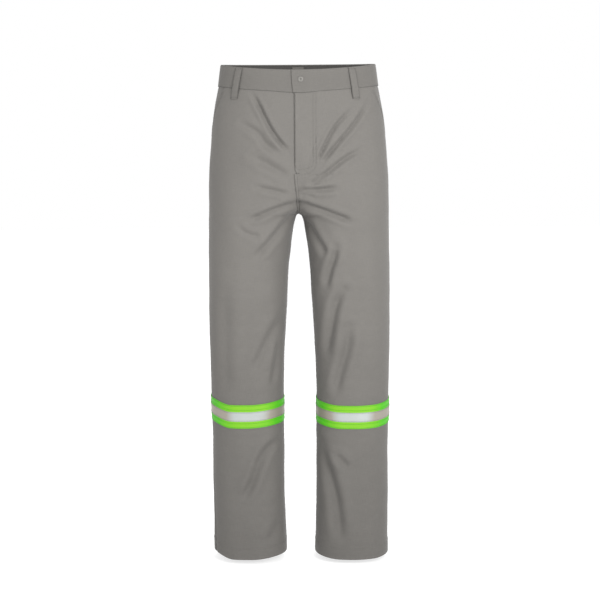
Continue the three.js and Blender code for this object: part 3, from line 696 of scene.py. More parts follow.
def silver_tape():
    """Glass-bead reflective film on cloth: a bead grain, handling marks, and bright and dull patches along
    its length, painted reflections of its facets. It is painted bright over the front and back and
    dull at the sides: a painted reflection."""
    f = Finish("silver_tape")
    place = f.node("TexCoord", output=3)
    cloth = f.node("UVMap", {"uv_map": "cloth"})
    beads = f.node("TexVoronoi", {"feature": "F1"}, Vector=place, Scale=1900.0)
    facet_glints = noise(f, scaled(f, cloth, 18, 4), 1.0, 1.0)
    scuff = noise(f, place, 55.0, 5.0, 0.65)
    out_from_middle = f.node("SeparateXYZ", output=1, Vector=place).absolute()
    # Bright over the front and back, dull at the sides and in patches along the strip: painted reflection.
    shade = (out_from_middle - 0.0715) * 110 + (facet_glints - 0.5) * 1.6 + (scuff - 0.5) * 0.4 + 0.4
    base = f.mix(shade, (0.235, 0.215, 0.18), (0.31, 0.335, 0.325))
    return f.shader(Base_Color=base, Metallic=0.25, Roughness=scuff * 0.25 + 0.30,
                    Normal=f.bump(beads * 0.5 + scuff, 0.0001, 0.5), Specular_IOR_Level=0.6)


def metal(name, colour, rough=0.35, scuffs=0.25, metallic=1.0):
    """Plated metal: tiny scuffs, uneven dullness, fine pitting."""
    f = Finish(name)
    place = f.node("TexCoord", output=3)
    scuff = noise(f, place, 1400.0, 6.0, 0.7)
    patch = noise(f, place, 260.0, 3.0)
    base = f.mix(patch * 0.6 + scuff * 0.4, *shades(colour, 0.7, 1.25))
    return f.shader(Base_Color=base, Metallic=metallic, Roughness=scuff * scuffs + rough,
                    Normal=f.bump(scuff + patch, 0.00003, 0.6))


def thread(name, colour):
    """Twisted thread: slanted plies and small shade changes."""
    f = Finish(name)
    place = f.node("TexCoord", output=3)
    ply = noise(f, place, 2600.0, 2.0)
    cloud = noise(f, place, 120.0, 2.0)
    base = f.mix(ply * 0.6 + cloud * 0.4, *shades(colour, 0.75, 1.3))
    return f.shader(Base_Color=base, Roughness=0.7 + ply * 0.15, Normal=f.bump(ply, 0.00008, 0.6))


GREY = (0.117, 0.111, 0.103)
CLOTH_FINISH = woven("grey_twill", GREY, falloff_shade=0.5)
# The same twill a tenth darker, for the waistband, loops, rear pockets and hem fold: painted shade. Its
# stronger edge wear is real wear.
BAND_FINISH = woven("grey_twill_shaded", tuple(c * 0.90 for c in GREY), wear=0.3)
LINING = woven("dark_lining", (0.050, 0.048, 0.045), pitch=0.0005, depth=0.00008, melange=0.06)
POCKETING = woven("pocket_cloth", (0.24, 0.23, 0.21), pitch=0.0005, depth=0.00006, melange=0.05)
LABEL = woven("blank_label", (0.105, 0.10, 0.092), pitch=0.0004, depth=0.00005, melange=0.03, wear=0.05)
ZIP_CLOTH = woven("zip_tape_cloth", (0.075, 0.073, 0.068), pitch=0.0009, depth=0.00015, melange=0.05)
LIME, SILVER = lime_tape(), silver_tape()
STEEL = metal("zip_steel", (0.40, 0.395, 0.38))
SNAP_PAINT = metal("snap_paint", (0.125, 0.12, 0.11), rough=0.42, metallic=0.15)
THREAD = thread("grey_thread", (0.095, 0.09, 0.083))
LIME_THREAD = thread("lime_thread", (0.045, 0.30, 0.008))


# ---------- how pieces go with the bodies ----------
def go(piece, how, slot, *nodes):
    """Rides a piece on a body, or, given the ends of a blend between two, leaves it fixed where it is; and
    hides its nodes. The slot is not used.
    """
    if isinstance(how, str):
        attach(piece, how)
    else:
        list(how)
        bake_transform(piece)
    if nodes:
        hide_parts(*nodes)
    return piece


def hip_blend(name):
    """From the seat to the thigh, over the cloth of the groin."""
    x = JOINTS[f"{name}_hip_swing"]["pos_m"][0]
    return "seat", f"{name}_thigh", (x, 0, HIP_Z + 0.112), (x, 0, HIP_Z - 0.030)


def knee_blend(name):
    """From the thigh to the shin, over the cloth of the knee."""
    x = JOINTS[f"{name}_knee_fold"]["pos_m"][0]
    return f"{name}_thigh", f"{name}_shin", (x, 0, KNEE_Z + 0.092), (x, 0, KNEE_Z - 0.092)


def fly_blend():
    """Across the fold line, from a little to the seat's side of it to a little on the flap's."""
    joint = JOINTS["fly_open"]
    axis = np.array(joint["axis"])
    across = np.cross(axis, (0, -1, 0))
    across /= np.linalg.norm(across)
    across *= np.sign(across[0])
    middle = np.array(joint["pos_m"]) + 0.1 * axis
    return "seat", "fly_flap", tuple(middle + 0.010 * across), tuple(middle - 0.012 * across)


# ---------- leg panels ----------
def fly_lift(x, z):
    """The flap stands off the front over the zip, and comes down to it at the fold and lower end."""
    end = fold_x(z) + 0.012
    return 0.0022 * (1 - smooth((x - 0.25 * end) / (0.75 * end))) * smooth((z - FLY_END_Z) / 0.035)


def panel_place(side, face, top, bottom, inner, outer):
    """One panel: u runs from its side seam to its inner edge and v from top to bottom. Beside each
    edge it dips into the seam, and a hem stands proud by its second layer."""
    base = on_side(side)

    def place(u, v, out):
        z = top(u) + (bottom - top(u)) * v
        a, b = outer(z), face * inner(z)
        angle = a + (b - a) * u
        panel_width = 0.24 - 0.09 * smooth(-z / 0.6)

        def by_edges(reach):
            return bell((1 - u) * panel_width / reach) + bell(u * panel_width / reach)

        pucker = 0.0003 * np.sin(z * 620 + 2 * np.sin(z * 90)) * by_edges(0.007)
        hem = 0.0006 * smooth((HEM_Z + HEM_DEPTH + 0.002 - z) / 0.003)
        return skin(base, angle, z, out - 0.0011 * by_edges(0.0022) + pucker + hem)
    return place


def through_fork(top, bottom):
    """Row spacing with more rows near the crotch."""
    share = (CROTCH_Z - top) / (bottom - top)

    def stretch(v):
        above = share * (1 - np.clip(1 - v / share, 0, 1) ** 1.5)
        below = share + (1 - share) * np.clip((v - share) / (1 - share), 0, 1) ** 1.25
        return np.where(v < share, above, below)
    return stretch


MOUTH_TOP_ANGLE = math.radians(31)
MOUTH_DEPTH = 0.105


def mouth_angle(z):
    """The slanted pocket mouth: it runs from the front at the waistband back to the side."""
    down = np.clip((-WAISTBAND_HEIGHT - z) / MOUTH_DEPTH, 0, 1)
    return -MOUTH_TOP_ANGLE * (1 - down**0.8)


def panel_top(face, outer, inner):
    """A panel's upper edge, tucked up under the waistband."""
    def top(u):
        z = np.full_like(u, -WAISTBAND_HEIGHT)
        angle = outer(z) + (face * inner(z) - outer(z)) * u
        return waist_top(np.pi / 2 + angle) - WAISTBAND_HEIGHT + TUCK
    return top


def upper_panels(name, side):
    """The front and back cloth of one leg, from the waistband to above the knee."""
    seam = side_seam(side)
    foot = SPLIT_Z - TUCK
    spacing = through_fork(-WAISTBAND_HEIGHT, SPLIT_Z)

    def front_inner(z):
        beside_zip = 0.0052 * smooth((z - FLY_END_Z - 0.006) / 0.02)
        fly = fold_x(z) + FLAP_REACH - 0.003 if side > 0 else beside_zip
        return np.where(z > FLY_END_Z + 0.003, angle_at(fly, z), inner_angle(z))

    def front_outer(z):
        return np.minimum(mouth_angle(z), seam(z))

    top = panel_top(-1, front_outer, front_inner)
    place = panel_place(side, -1, top, foot, front_inner, front_outer)
    front = slab(f"{name}_front_panel", place, 110, 190, 0.0, -CLOTH, CLOTH_FINISH, spacing, sewn="lr")
    go(front, hip_blend(name), "cloth", f"front_hip_{name}", f"thigh_front_{name}")

    place = panel_place(side, 1, panel_top(1, seam, inner_angle), foot, inner_angle, seam)
    back = slab(f"{name}_back_panel", place, 120, 190, 0.0, -CLOTH, CLOTH_FINISH, spacing, sewn="lr")
    go(back, hip_blend(name), "cloth", f"back_hip_{name}", f"thigh_back_{name}")


def lower_panels(name, side):
    """The front and back cloth from above the knee to the hem."""
    def top(u):
        return np.full_like(u, SPLIT_Z)

    for part, face in (("front", -1), ("back", 1)):
        place = panel_place(side, face, top, HEM_Z, inner_angle, side_seam(side))
        piece_name = f"{name}_lower_{part}_panel"
        lower = slab(piece_name, place, 80, 200, -0.00012, -CLOTH, CLOTH_FINISH, sewn="lrb")
        go(lower, knee_blend(name), "cloth", f"shin_{part}_{name}")


def leg_skin(side):
    """A leg's own skin, with its folds, as a function of angle, height and distance out."""
    base = on_side(side)

    def on_leg(angle, z, out):
        return skin(base, angle, z, out)
    return on_leg


def leg_stitching(name, side):
    """Double rows beside the side seam and the pocket mouth, and single rows beside the inseam,
    the back rise and above the hem."""
    seam, on_leg = side_seam(side), leg_skin(side)
    behind = 0.0065 / 0.12  # from one row to the next, as an angle
    upper_z = np.linspace(-0.052, SPLIT_Z, 240)
    mouth_z = np.linspace(-0.056, -WAISTBAND_HEIGHT - MOUTH_DEPTH, 90)
    inseam_z = np.linspace(CROTCH_Z - 0.004, SPLIT_Z, 90)
    rear_z = np.linspace(-0.052, CROTCH_Z + 0.006, 150)
    upper_rows = [row_on(on_leg, seam(upper_z) + behind * k, upper_z) for k in (0.4, 1.4)]
    upper_rows += [row_on(on_leg, mouth_angle(mouth_z) - 0.02 * k, mouth_z) for k in (1, 3.6)]
    upper_rows += [row_on(on_leg, np.pi - 0.03, inseam_z)]
    upper_rows += [row_on(on_leg, angle_at(0.002 + 0.005 * (side > 0), rear_z), rear_z)]
    go(stitches(f"{name}_upper_stitching", upper_rows, THREAD), hip_blend(name), "cloth")
    lower_z = np.linspace(SPLIT_Z, HEM_Z, 280)
    lower_rows = [row_on(on_leg, seam(lower_z) + behind * 1.5 * k, lower_z) for k in (0.4, 1.4)]
    lower_rows += [row_on(on_leg, np.pi - 0.04, lower_z)]
    lower_rows += [row_on(on_leg, np.linspace(-np.pi, np.pi, 200), HEM_Z + HEM_DEPTH - 0.0015, 0.0005)]
    go(stitches(f"{name}_lower_stitching", lower_rows, THREAD), knee_blend(name), "cloth")


def sleeve(side, low, high):
    """A ring of cloth round the leg between two heights."""
    on_leg = leg_skin(side)

    def place(u, v, out):
        return on_leg(np.pi * (2 * u - 1), high + (low - high) * v, out)
    return place


def band(name, side):
    """The lime tape with its silver strip, and their stitch rows."""
    shin, on_leg = f"{name}_shin", leg_skin(side)
    place = sleeve(side, BAND_BOTTOM_Z, BAND_TOP_Z)
    tape = slab(f"{name}_lime_tape", place, 180, 26, 0.0012, 0.0004, LIME)
    go(tape, shin, "lime_tape", f"band_tape_{name}")
    place = sleeve(side, STRIP_BOTTOM_Z, STRIP_TOP_Z)
    strip = slab(f"{name}_silver_strip", place, 180, 14, 0.0019, 0.0013, SILVER)
    go(strip, shin, "silver_tape", f"reflective_strip_{name}")
    turns = np.linspace(-np.pi, np.pi, 240)
    by_strip = (STRIP_TOP_Z + 0.0045, STRIP_BOTTOM_Z - 0.0045)
    by_edge = (BAND_TOP_Z - 0.0018, BAND_BOTTOM_Z + 0.0018)
    on_strip = (STRIP_TOP_Z - 0.0015, STRIP_BOTTOM_Z + 0.0015)
    tape_rows = [row_on(on_leg, turns, z, 0.0013) for z in by_strip + by_edge]
    strip_rows = [row_on(on_leg, turns, z, 0.0020) for z in on_strip]
    go(stitches(f"{name}_tape_stitching", tape_rows, LIME_THREAD, 0.0005), shin, "lime_tape")
    go(stitches(f"{name}_strip_stitching", strip_rows, THREAD), shin, "silver_tape")


def hem_fold(name, side):
    """The hem's second layer, folded up inside."""
    low = HEM_Z + 0.0006
    place = sleeve(side, low, low + HEM_DEPTH)
    hem = slab(f"{name}_hem_fold", place, 150, 10, -CLOTH - 0.0001, -2 * CLOTH, BAND_FINISH)
    go(hem, knee_blend(name), "cloth", f"hem_facing_{name}")


def front_pocket(name, side):
    """The cloth behind the pocket mouth, and the two layers of the bag behind it."""
    on_leg = leg_skin(side)

    def hung(first, last, height):
        """A layer between two angles in degrees from the side, hung below the waistband seam."""
        def place(u, v, out):
            angle = np.radians(first + (last - first) * u)
            top = waist_top(np.pi / 2 + angle) - WAISTBAND_HEIGHT + TUCK
            return on_leg(angle, top - height * v, out)
        return place

    facing = slab(f"{name}_pocket_facing", hung(-50, 0.4, 0.125), 50, 60, -0.0013, -0.0021, CLOTH_FINISH)
    go(facing, "seat", "cloth", f"pocket_facing_{name}")
    for layer, out in (("front", -0.0026), ("back", -0.0036)):
        bag = slab(f"{name}_pocket_bag_{layer}", hung(-63, -7, 0.205), 46, 70, out, out - 0.0005, POCKETING)
        go(bag, "seat", "pocketing", f"pocket_bag_{layer}_{name}")


def rear_pocket(name, side):
    """A patch pocket with a blunt point below: its lower edge falls towards the middle. Its mouth
    is folded over, and it is pulled in along its stitches."""
    on_leg = leg_skin(side)
    width, side_length, point, mouth_fold = 0.12, 0.128, 0.014, 0.024
    first_angle, spread = 37, 33
    mouth_z = -WAISTBAND_HEIGHT - 0.052

    def patch(u, v, out):
        length = side_length + point * (1 - np.abs(2 * u - 1))
        rim = np.minimum(np.minimum(u, 1 - u) * width, (1 - v) * 0.14)
        folded = 0.0006 * smooth((mouth_fold - v * 0.14) / 0.003) * (out > 0.0005)
        proud = out + folded - 0.0003 * bell((rim - 0.0025) / 0.0012)
        return on_leg(np.radians(first_angle + spread * u), mouth_z - length * v, proud)

    def three_sides(inset, foot):
        """A row down one side, along the foot and up the other."""
        t = np.linspace(0, 1, 120)
        u = np.concatenate([inset + 0 * t, inset + (1 - 2 * inset) * t, 1 - inset + 0 * t])
        v = np.concatenate([t * foot, foot + 0 * t, foot - t * foot])
        return row_on(patch, u, v, 0.0015)

    piece = slab(f"{name}_rear_pocket", patch, 60, 70, 0.0014, 0.0002, BAND_FINISH)
    go(piece, "seat", "cloth", f"rear_pocket_{name}")
    mouth_row = row_on(patch, np.linspace(0.02, 0.98, 120), 0.165, 0.0018)
    rows = [three_sides(0.02, 0.98), three_sides(0.07, 0.94), mouth_row]
    go(stitches(f"{name}_rear_pocket_stitching", rows, THREAD), "seat", "cloth")


for name, side in SIDES.items():
    upper_panels(name, side)
    lower_panels(name, side)
    leg_stitching(name, side)
    band(name, side)
    hem_fold(name, side)
    front_pocket(name, side)
    rear_pocket(name, side)


# ---------- waistband ----------
def on_band(turn, across, out):
    """A point of the waistband, across down from its top edge. It is deeper at the centre front."""
    return skin(on_waist, turn, waist_top(turn) - across * (1 + 0.07 * bell(turn / 0.25)), out)


def waist_run(start, end):
    """Along the waist from one turn to another."""
    def place(t, across, out):
        return on_band(start + (end - start) * t, across, out)
    return place


UNDERLAP_TURN = float(turn_at(0.020))  # where the right band ends, under the tab
FOLD_TURN = float(turn_at(fold_x(-0.022)))
TAB_X = -0.0135  # the tab's free edge
TAB_TURN = float(turn_at(TAB_X))
PROUD = 0.0012  # the band's face off the plain body
band_profile = strap_profile(WAISTBAND_HEIGHT, -0.0014, PROUD)
tab_lift = PROUD + 0.0015


def tab_place(t, across, out):
    """The tab lies on the right band's end, and comes down level with the left band at the fold."""
    start = TAB_X + 0.0035 * (across / WAISTBAND_HEIGHT) ** 2
    x = start + (fold_x(-across) - start) * t
    turn = turn_at(x, -across)
    lift = tab_lift * (1 - smooth((x - 0.022) / 0.024)) + 0.0001
    return on_band(turn, across, out + lift)


def left_band(t, across, out):
    """From the fold line round to the centre back."""
    start = turn_at(fold_x(-across) - 0.0006, -across)
    return on_band(start + (np.pi - start) * t, across, out)


right_band = strap("right_waistband", waist_run(-np.pi, UNDERLAP_TURN), 150, band_profile, BAND_FINISH)
go(right_band, "seat", "cloth", "waistband_right")
go(strap("left_waistband", left_band, 140, band_profile, BAND_FINISH), "seat", "cloth", "waistband_left")
tab_profile = strap_profile(WAISTBAND_HEIGHT, -0.0012, PROUD)
tab = strap("waistband_tab_cloth", tab_place, 40, tab_profile, BAND_FINISH)
go(tab, fly_blend(), "cloth", "waistband_tab")


def band_rows(place):
    """A row along each edge of the waistband."""
    t = np.linspace(0.004, 0.996, 400)
    return [row_on(place, t, across, PROUD - 0.0001) for across in (EDGE_ROW, WAISTBAND_HEIGHT - EDGE_ROW)]


waist_rows = band_rows(waist_run(-np.pi, TAB_TURN)) + band_rows(left_band)
go(stitches("waistband_stitching", waist_rows, THREAD), "seat", "cloth")
tab_rows = band_rows(tab_place)
down_end = np.linspace(EDGE_ROW, WAISTBAND_HEIGHT - EDGE_ROW, 40)
tab_rows.append(row_on(tab_place, 0.035, down_end, PROUD - 0.0001))
go(stitches("tab_stitching", tab_rows, THREAD), fly_blend(), "cloth")


def waist_lining(name, start, end):
    """The lining inside the band from one turn to another, a little hollow along its middle."""
    def place(u, v, out):
        turn = start + (end - start) * u
        z = waist_top(turn) - 0.002 - 0.041 * v
        return skin(on_waist, turn, z, out - 0.0006 * bell((v - 0.5) * 2.2))

    piece = slab(f"{name}_waistband_lining", place, 130, 14, -0.0017, -0.0025, LINING)
    go(piece, "seat", "lining", f"waistband_facing_{name}")


waist_lining("right", -np.pi, float(turn_at(-0.014)))
waist_lining("left", FOLD_TURN + 0.02, np.pi)


def label_place(u, v, out):
    """A small flat label at the centre back, inside the lining."""
    turn = np.pi + 0.08 * (2 * u - 1)
    return skin(on_waist, turn, -0.004 - 0.026 * v, out)


label = slab("blank_size_label", label_place, 20, 14, -0.0036, -0.0039, LABEL)
go(label, "seat", "label", "size_label")


# ---------- belt loops ----------
def loop_place(turn, lower_turn):
    """Down the loop: flat on the band at its top, bowed off it between, flat on the panel below."""
    here, beside = (on_waist(np.array(turn + step), np.array(-0.01)) for step in (0.0, 0.01))
    length_per_turn = np.linalg.norm(beside - here) / 0.01

    def place(t, across, out):
        z = waist_top(turn) - 0.002 - LOOP_LENGTH * t
        lies = 0.0002 + PROUD * (1 - smooth((t - 0.62) / 0.28))
        bowed = np.sin(np.pi * t) ** 0.8
        shift = turn + (lower_turn - turn) * t + (across - LOOP_WIDTH / 2) / length_per_turn
        return skin(on_waist, shift, z, lies + LOOP_BOW * bowed + out, folds=1 - bowed)
    return place


def belt_loop(name, node, turn, lower_turn):
    """A loop with a row down each side and bar tacks across its two ends."""
    place = loop_place(turn, lower_turn)
    go(strap(f"{name}_belt_loop", place, 50, LOOP_PROFILE, BAND_FINISH), "seat", "cloth", node)
    down = np.linspace(0.02, 0.98, 90)
    rows = [row_on(place, down, across, 0.0017) for across in (LOOP_ROW, LOOP_WIDTH - LOOP_ROW)]
    across = np.linspace(0.001, LOOP_WIDTH - 0.001, 30)
    rows += [row_on(place, at, across, 0.0018) for at in (0.03, 0.045, 0.06, 0.94, 0.955, 0.97)]
    go(stitches(f"{name}_loop_stitching", rows, THREAD), "seat", "cloth")


LOOP_PROFILE = strap_profile(LOOP_WIDTH, 0.0, 0.0017, rows=(LOOP_ROW,), pillow=0.0002, count=13)
for name, side in SIDES.items():
    low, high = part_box(f"belt_loop_front_{name}")
    top_turn = float(turn_at((low[0] + high[0]) / 2 - side * 0.0045))
    belt_loop(f"{name}_front", f"belt_loop_front_{name}", top_turn, top_turn + LOOP_SLANT[name])
for name, side in SIDES.items():
    side_turn = side * (np.pi - float(turn_at(SIDE_LOOP_X)))
    belt_loop(f"{name}_side", f"belt_loop_side_{name}", side_turn, side_turn)
belt_loop("back", "belt_loop_back", np.pi, np.pi)


# ---------- fly ----------
def overlap(z):
    """How far the flap laps past the centre: even down to its foot, where its corner is round."""
    return FLY_OVERLAP * smooth((z - FLY_END_Z + 0.0005) / 0.014) ** 0.6


def front_cloth(x, z, out):
    """The front skin, lifted over the zip."""
    return skin(on_front, x, z, out + fly_lift(x, z))


def flap_place(u, v, out):
    """u runs from the free edge past the centre to beyond the fold line, and v down the fly."""
    top = waist_top(turn_at(0.02)) - WAISTBAND_HEIGHT + TUCK
    z = top + (FLY_END_Z - 0.004 - top) * v
    x = -overlap(z) + (fold_x(z) + FLAP_REACH + overlap(z)) * u
    free_edge = 0.0003 * bell(u / 0.02)
    return front_cloth(x, z, out + free_edge + 0.0001 - 0.0005 * smooth((u - 0.9) / 0.1))


flap = slab("fly_flap_cloth", flap_place, 60, 150, 0.0002, -0.0012, CLOTH_FINISH, sewn="l")
go(flap, fly_blend(), "cloth", "fly_flap")


LAP_TOP_Z = FLY_END_Z + 0.003
LAP_LENGTH = FLY_END_Z - CROTCH_Z - 0.001


def lap_width(v):
    """How far the lap reaches past the centre, from its top to the crotch."""
    return 0.0095 - 0.0065 * v


def crotch_lap_place(u, v, out):
    """Below the fly the left front laps the right: a narrow fold, thin where it meets the left."""
    x = -lap_width(v) + (lap_width(v) + 0.013) * u
    return skin(on_front, x, LAP_TOP_Z - LAP_LENGTH * v, out + 0.0011 * (1 - smooth(u / 0.8)) - 0.0002)


lap = slab("crotch_lap", crotch_lap_place, 20, 60, 0.0002, -0.0010, CLOTH_FINISH, sewn="l")
go(lap, "seat", "cloth")
lap_z = np.linspace(FLY_END_Z, CROTCH_Z + 0.006, 60)
lap_edge = lap_width((LAP_TOP_Z - lap_z) / (FLY_END_Z - CROTCH_Z))
lap_rows = [row_on(front_cloth, inset - lap_edge, lap_z, 0.0013) for inset in (0.0016, 0.0060)]
go(stitches("crotch_lap_stitching", lap_rows, THREAD), "seat", "cloth")


def fly_facing_place(u, v, out):
    """The flap's lining, from beside the zip nearly to the fold line."""
    z = ZIP_TOP_Z - 0.002 - 0.10 * v
    return front_cloth(0.0055 + (fold_x(z) - 0.009) * u, z, out)


facing = slab("fly_facing_cloth", fly_facing_place, 24, 50, -0.0015, -0.0021, LINING)
go(facing, fly_blend(), "lining", "fly_facing")


def fly_row(inset):
    """A row down beside the fold, then round a quarter turn to the fly's lower end: its x and z."""
    t, straight = np.linspace(0, 1, 200), 0.80
    curl = np.clip((t - straight) / (1 - straight), 0, 1) * np.pi / 2
    beside, past_centre, drop = 0.036 - inset, 0.004, 0.023
    x = beside - (beside + past_centre) * (1 - np.cos(curl))
    down = (ZIP_TOP_Z - FLY_END_Z - drop) * np.clip(t / straight, 0, 1)
    return x, ZIP_TOP_Z - down - (drop - 2 * inset) * np.sin(curl)


flap_rows, panel_rows = [], []
for inset in (0.0, 0.006):
    row_x, row_z = fly_row(inset)
    line, normal = row_on(front_cloth, row_x, row_z, 0.0004)
    on_flap = row_x < fold_x(row_z) + FLAP_REACH - 0.001
    for keep, rows in ((on_flap, flap_rows), (~on_flap, panel_rows)):
        if keep.sum() > 3:
            rows.append((line[keep], normal[keep]))
edge_z = np.linspace(ZIP_TOP_Z, FLY_END_Z + 0.014, 150)
flap_rows.append(row_on(front_cloth, -overlap(edge_z) + 0.002, edge_z, 0.0006))
bar_tack = np.linspace(-0.006, 0.004, 20)
flap_rows += [row_on(front_cloth, bar_tack, FLY_END_Z + 0.004 + k * 0.0007, 0.0006) for k in (0, 1, 2)]
go(stitches("fly_stitching", flap_rows, THREAD), fly_blend(), "cloth")
go(stitches("fly_front_stitching", panel_rows, THREAD), "seat", "cloth")

# ---------- zip ----------
zip_top = on_front(np.array(0.0), np.array(ZIP_TOP_Z))
zip_foot = on_front(np.array(0.0), np.array(ZIP_BOTTOM_Z))
zip_lean = math.atan2(zip_foot[1] - zip_top[1], ZIP_TOP_Z - ZIP_BOTTOM_Z)
ZIP_LENGTH = (ZIP_TOP_Z - ZIP_BOTTOM_Z) / math.cos(zip_lean)


def on_zip(points):
    """From (x, outwards, down the zip) to the frame."""
    x, out, down = points[..., 0], points[..., 1], points[..., 2]
    c, s = math.cos(zip_lean), math.sin(zip_lean)
    return np.stack([x, zip_top[1] - out * c + down * s, zip_top[2] - out * s - down * c], -1)


def zip_sheet(x0, x1, down0, down1):
    """A flat cloth beside the zip, between two x and two distances down."""
    def place(u, v, out):
        x, down = x0 + (x1 - x0) * u, down0 + (down1 - down0) * v
        return on_zip(np.stack([x, np.full_like(x, out), down], -1))
    return place


def teeth(name, side):
    """A row of teeth: each a block whose tip narrows and thickens into a small head."""
    pitch, tall = 0.0023, 0.0013
    stations = np.array([(4.1, 0.9, 0.55), (2.4, 0.9, 0.55), (1.7, 0.75, 0.42), (1.1, 0.6, 0.62)]) * MM
    ring = np.array([(1, 1), (-1, 1), (-1, -1), (1, -1)])
    x = np.repeat(side * stations[:, 0], 4)
    out = -0.0017 + (stations[:, 1][:, None] * ring[:, 0]).ravel()
    down = (stations[:, 2][:, None] * ring[:, 1]).ravel()
    count = int((ZIP_LENGTH - 0.006) / pitch)
    points = np.tile(np.stack([x, out, down], -1), (count, 1, 1))
    first = 0.0035 + tall / 2 + (pitch / 2 if side > 0 else 0.0)
    points[..., 2] += (first + pitch * np.arange(count))[:, None]
    return blocks(name, on_zip(points), STEEL, sharp=30)


def zip_body(name):
    """The left half of the zip goes with the flap."""
    return "fly_flap" if name == "left" else "seat"


for name, side in SIDES.items():
    tape_place = zip_sheet(side * 0.0038, side * 0.0158, 0.0, ZIP_LENGTH)
    zip_cloth = slab(f"{name}_zip_cloth", tape_place, 12, 60, -0.0014, -0.0020, ZIP_CLOTH)
    go(zip_cloth, zip_body(name), "zip_cloth", f"zip_tape_{name}")
    go(teeth(f"{name}_zip_teeth", side), zip_body(name), "zip_metal", f"zip_teeth_{name}")

shield_place = zip_sheet(-0.024, 0.020, -0.002, ZIP_LENGTH)
shield = slab("fly_shield_cloth", shield_place, 24, 60, -0.0043, -0.0052, CLOTH_FINISH)
go(shield, "seat", "cloth", "fly_shield")


def zip_bar(name, x, down, length, half_width, low, high):
    """A bar that lies along the zip, from x and down."""
    def place(points):
        return on_zip(points + (x, 0, down))
    return bar(name, place, length, half_width, low, high, STEEL)


# Half widths of the slider's and the pull's bars, from t = 0 at the top of each to 1 at its foot.
def plate_width(t):
    return 0.0046 - 0.0012 * t**2


def post_width(t):
    return 0.0005 - 0.0003 * t


def lug_width(t):
    return np.full_like(t, 0.0004)


def pull_width(t):
    return 0.0018 + 0.0004 * smooth((t - 0.1) / 0.5)


face = zip_bar("slider_face", 0, 0.0021, 0.009, plate_width, -0.0005, 0.0004)
go(face, "zip_slider", "zip_metal", "zip_slider")
for piece in (
    zip_bar("slider_back", 0, 0.0021, 0.009, plate_width, -0.0038, -0.0029),
    zip_bar("slider_post", 0, 0.0022, 0.004, post_width, -0.0032, -0.0002),
    zip_bar("slider_right_lug", -0.0029, 0.0037, 0.0028, lug_width, 0.0001, 0.0018),
    zip_bar("slider_left_lug", 0.0029, 0.0037, 0.0028, lug_width, 0.0001, 0.0018),
):
    go(piece, "zip_slider", "zip_metal")
pull = zip_bar("zip_pull_tab", 0, 0.0047, 0.0244, pull_width, 0.0008, 0.0016)
go(pull, "zip_pull", "zip_metal", "zip_pull")

# ---------- snap ----------
snap_at = on_front(np.array(SNAP_X), np.array(SNAP_Z))
above, below = (on_front(np.array(SNAP_X), np.array(SNAP_Z + step)) for step in (0.01, -0.01))
snap_lean = math.atan2((below - above)[1], 0.02)


def on_snap(points):
    """From (across, up, outwards) about the snap's axis to the frame."""
    c, s = math.cos(snap_lean), math.sin(snap_lean)
    x, up, out = points[:, 0], points[:, 1], points[:, 2]
    return snap_at + np.stack([x, -out * c - up * s, up * c - out * s], -1)


CAP_FACE = 0.0041  # from the plain body to the tab's face under the cap
# Radius and height above the tab's face in millimetres, from the stem over the rim to the dimple.
cap_heights = [
    (0, -1.3), (1.7, -1.3), (1.7, 0.1), (5.5, 0.1), (6.0, 0.4), (6.0, 0.8), (5.6, 1.3),
    (4.8, 1.7), (3.6, 1.9), (2.6, 1.9), (1.9, 1.6), (1.6, 0.6), (1.0, 0.3), (0, 0.3),
]
cap_profile = [(radius * MM, CAP_FACE + height * MM) for radius, height in cap_heights]
go(turned("snap_cap_paint", cap_profile, SNAP_PAINT, on_snap), "fly_flap", "snap_paint", "snap_cap")

STOPS = ("zip_bottom_stop", "zip_top_stop_left", "zip_top_stop_right")
for node in (*STOPS, "snap_socket", "snap_stud", "snap_washer"):
    for node_slot in frame["nodes"][node].material_slots:
        node_slot.material = STEEL

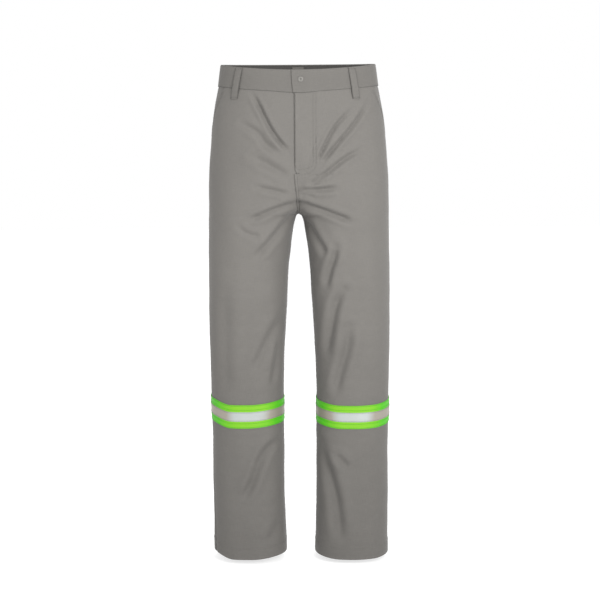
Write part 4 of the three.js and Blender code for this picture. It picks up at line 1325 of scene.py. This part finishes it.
# ---------- camera, floor and light ----------
camera = bpy.data.objects.new("camera", bpy.data.cameras.new("camera"))
camera.data.lens = 106.1
camera.data.sensor_width = 36
camera.location = (0.001, -3.749, -0.0515)
camera.rotation_mode = "ZXY"
camera.rotation_euler = (math.radians(90 - 6.816), 0, math.radians(-0.37))
bpy.context.scene.collection.objects.link(camera)
bpy.context.scene.camera = camera


def plain(name, colour):
    """A matt studio surface with a trace of unevenness."""
    f = Finish(name)
    cloud = noise(f, f.node("TexCoord", output=3), 2.0, 2.0)
    base = f.mix(cloud, *shades(colour, 0.995, 1.0))
    return f.shader(Base_Color=base, Roughness=0.95, Emission_Color=(1, 1, 1, 1), Emission_Strength=0.72)


FLOOR_Z, REACH = HEM_Z - 0.012, 9
floor_mesh = bpy.data.meshes.new("floor")
corners = [(x * REACH, y * REACH, FLOOR_Z) for x, y in ((-1, -1), (1, -1), (1, 1), (-1, 1))]
floor_mesh.from_pydata(corners, [], [(0, 1, 2, 3)])
floor = bpy.data.objects.new("floor", floor_mesh)
floor_mesh.materials.append(plain("pale_floor", (0.32, 0.32, 0.32)))
bpy.context.scene.collection.objects.link(floor)


def soft_light(name, place, towards, size, power):
    """A square soft box that faces a point."""
    lamp = bpy.data.objects.new(name, bpy.data.lights.new(name, "AREA"))
    lamp.data.shape, lamp.data.size, lamp.data.energy = "SQUARE", size, power
    lamp.location = place
    way = np.array(towards, float) - np.array(place, float)
    tilt, turn = math.acos(-way[2] / np.linalg.norm(way)), math.atan2(way[1], way[0])
    lamp.rotation_euler = (tilt, 0, turn - math.pi / 2)
    bpy.context.scene.collection.objects.link(lamp)


soft_light("key", (0.9, -2.1, 0.3), (0, 0, -0.45), 1.0, 60)
soft_light("fill", (-1.7, -1.9, 0.9), (0, 0, -0.5), 1.4, 20)
soft_light("back", (0.5, 2.8, 1.2), (0, 0, -0.5), 1.4, 70)

world = bpy.data.worlds.new("studio")
world.use_nodes = True
background = next(n for n in world.node_tree.nodes if n.type == "BACKGROUND")
background.inputs[0].default_value = (1, 1, 1, 1)
background.inputs[1].default_value = 1.0
bpy.context.scene.world = world
bpy.context.scene.view_settings.view_transform = "Standard"
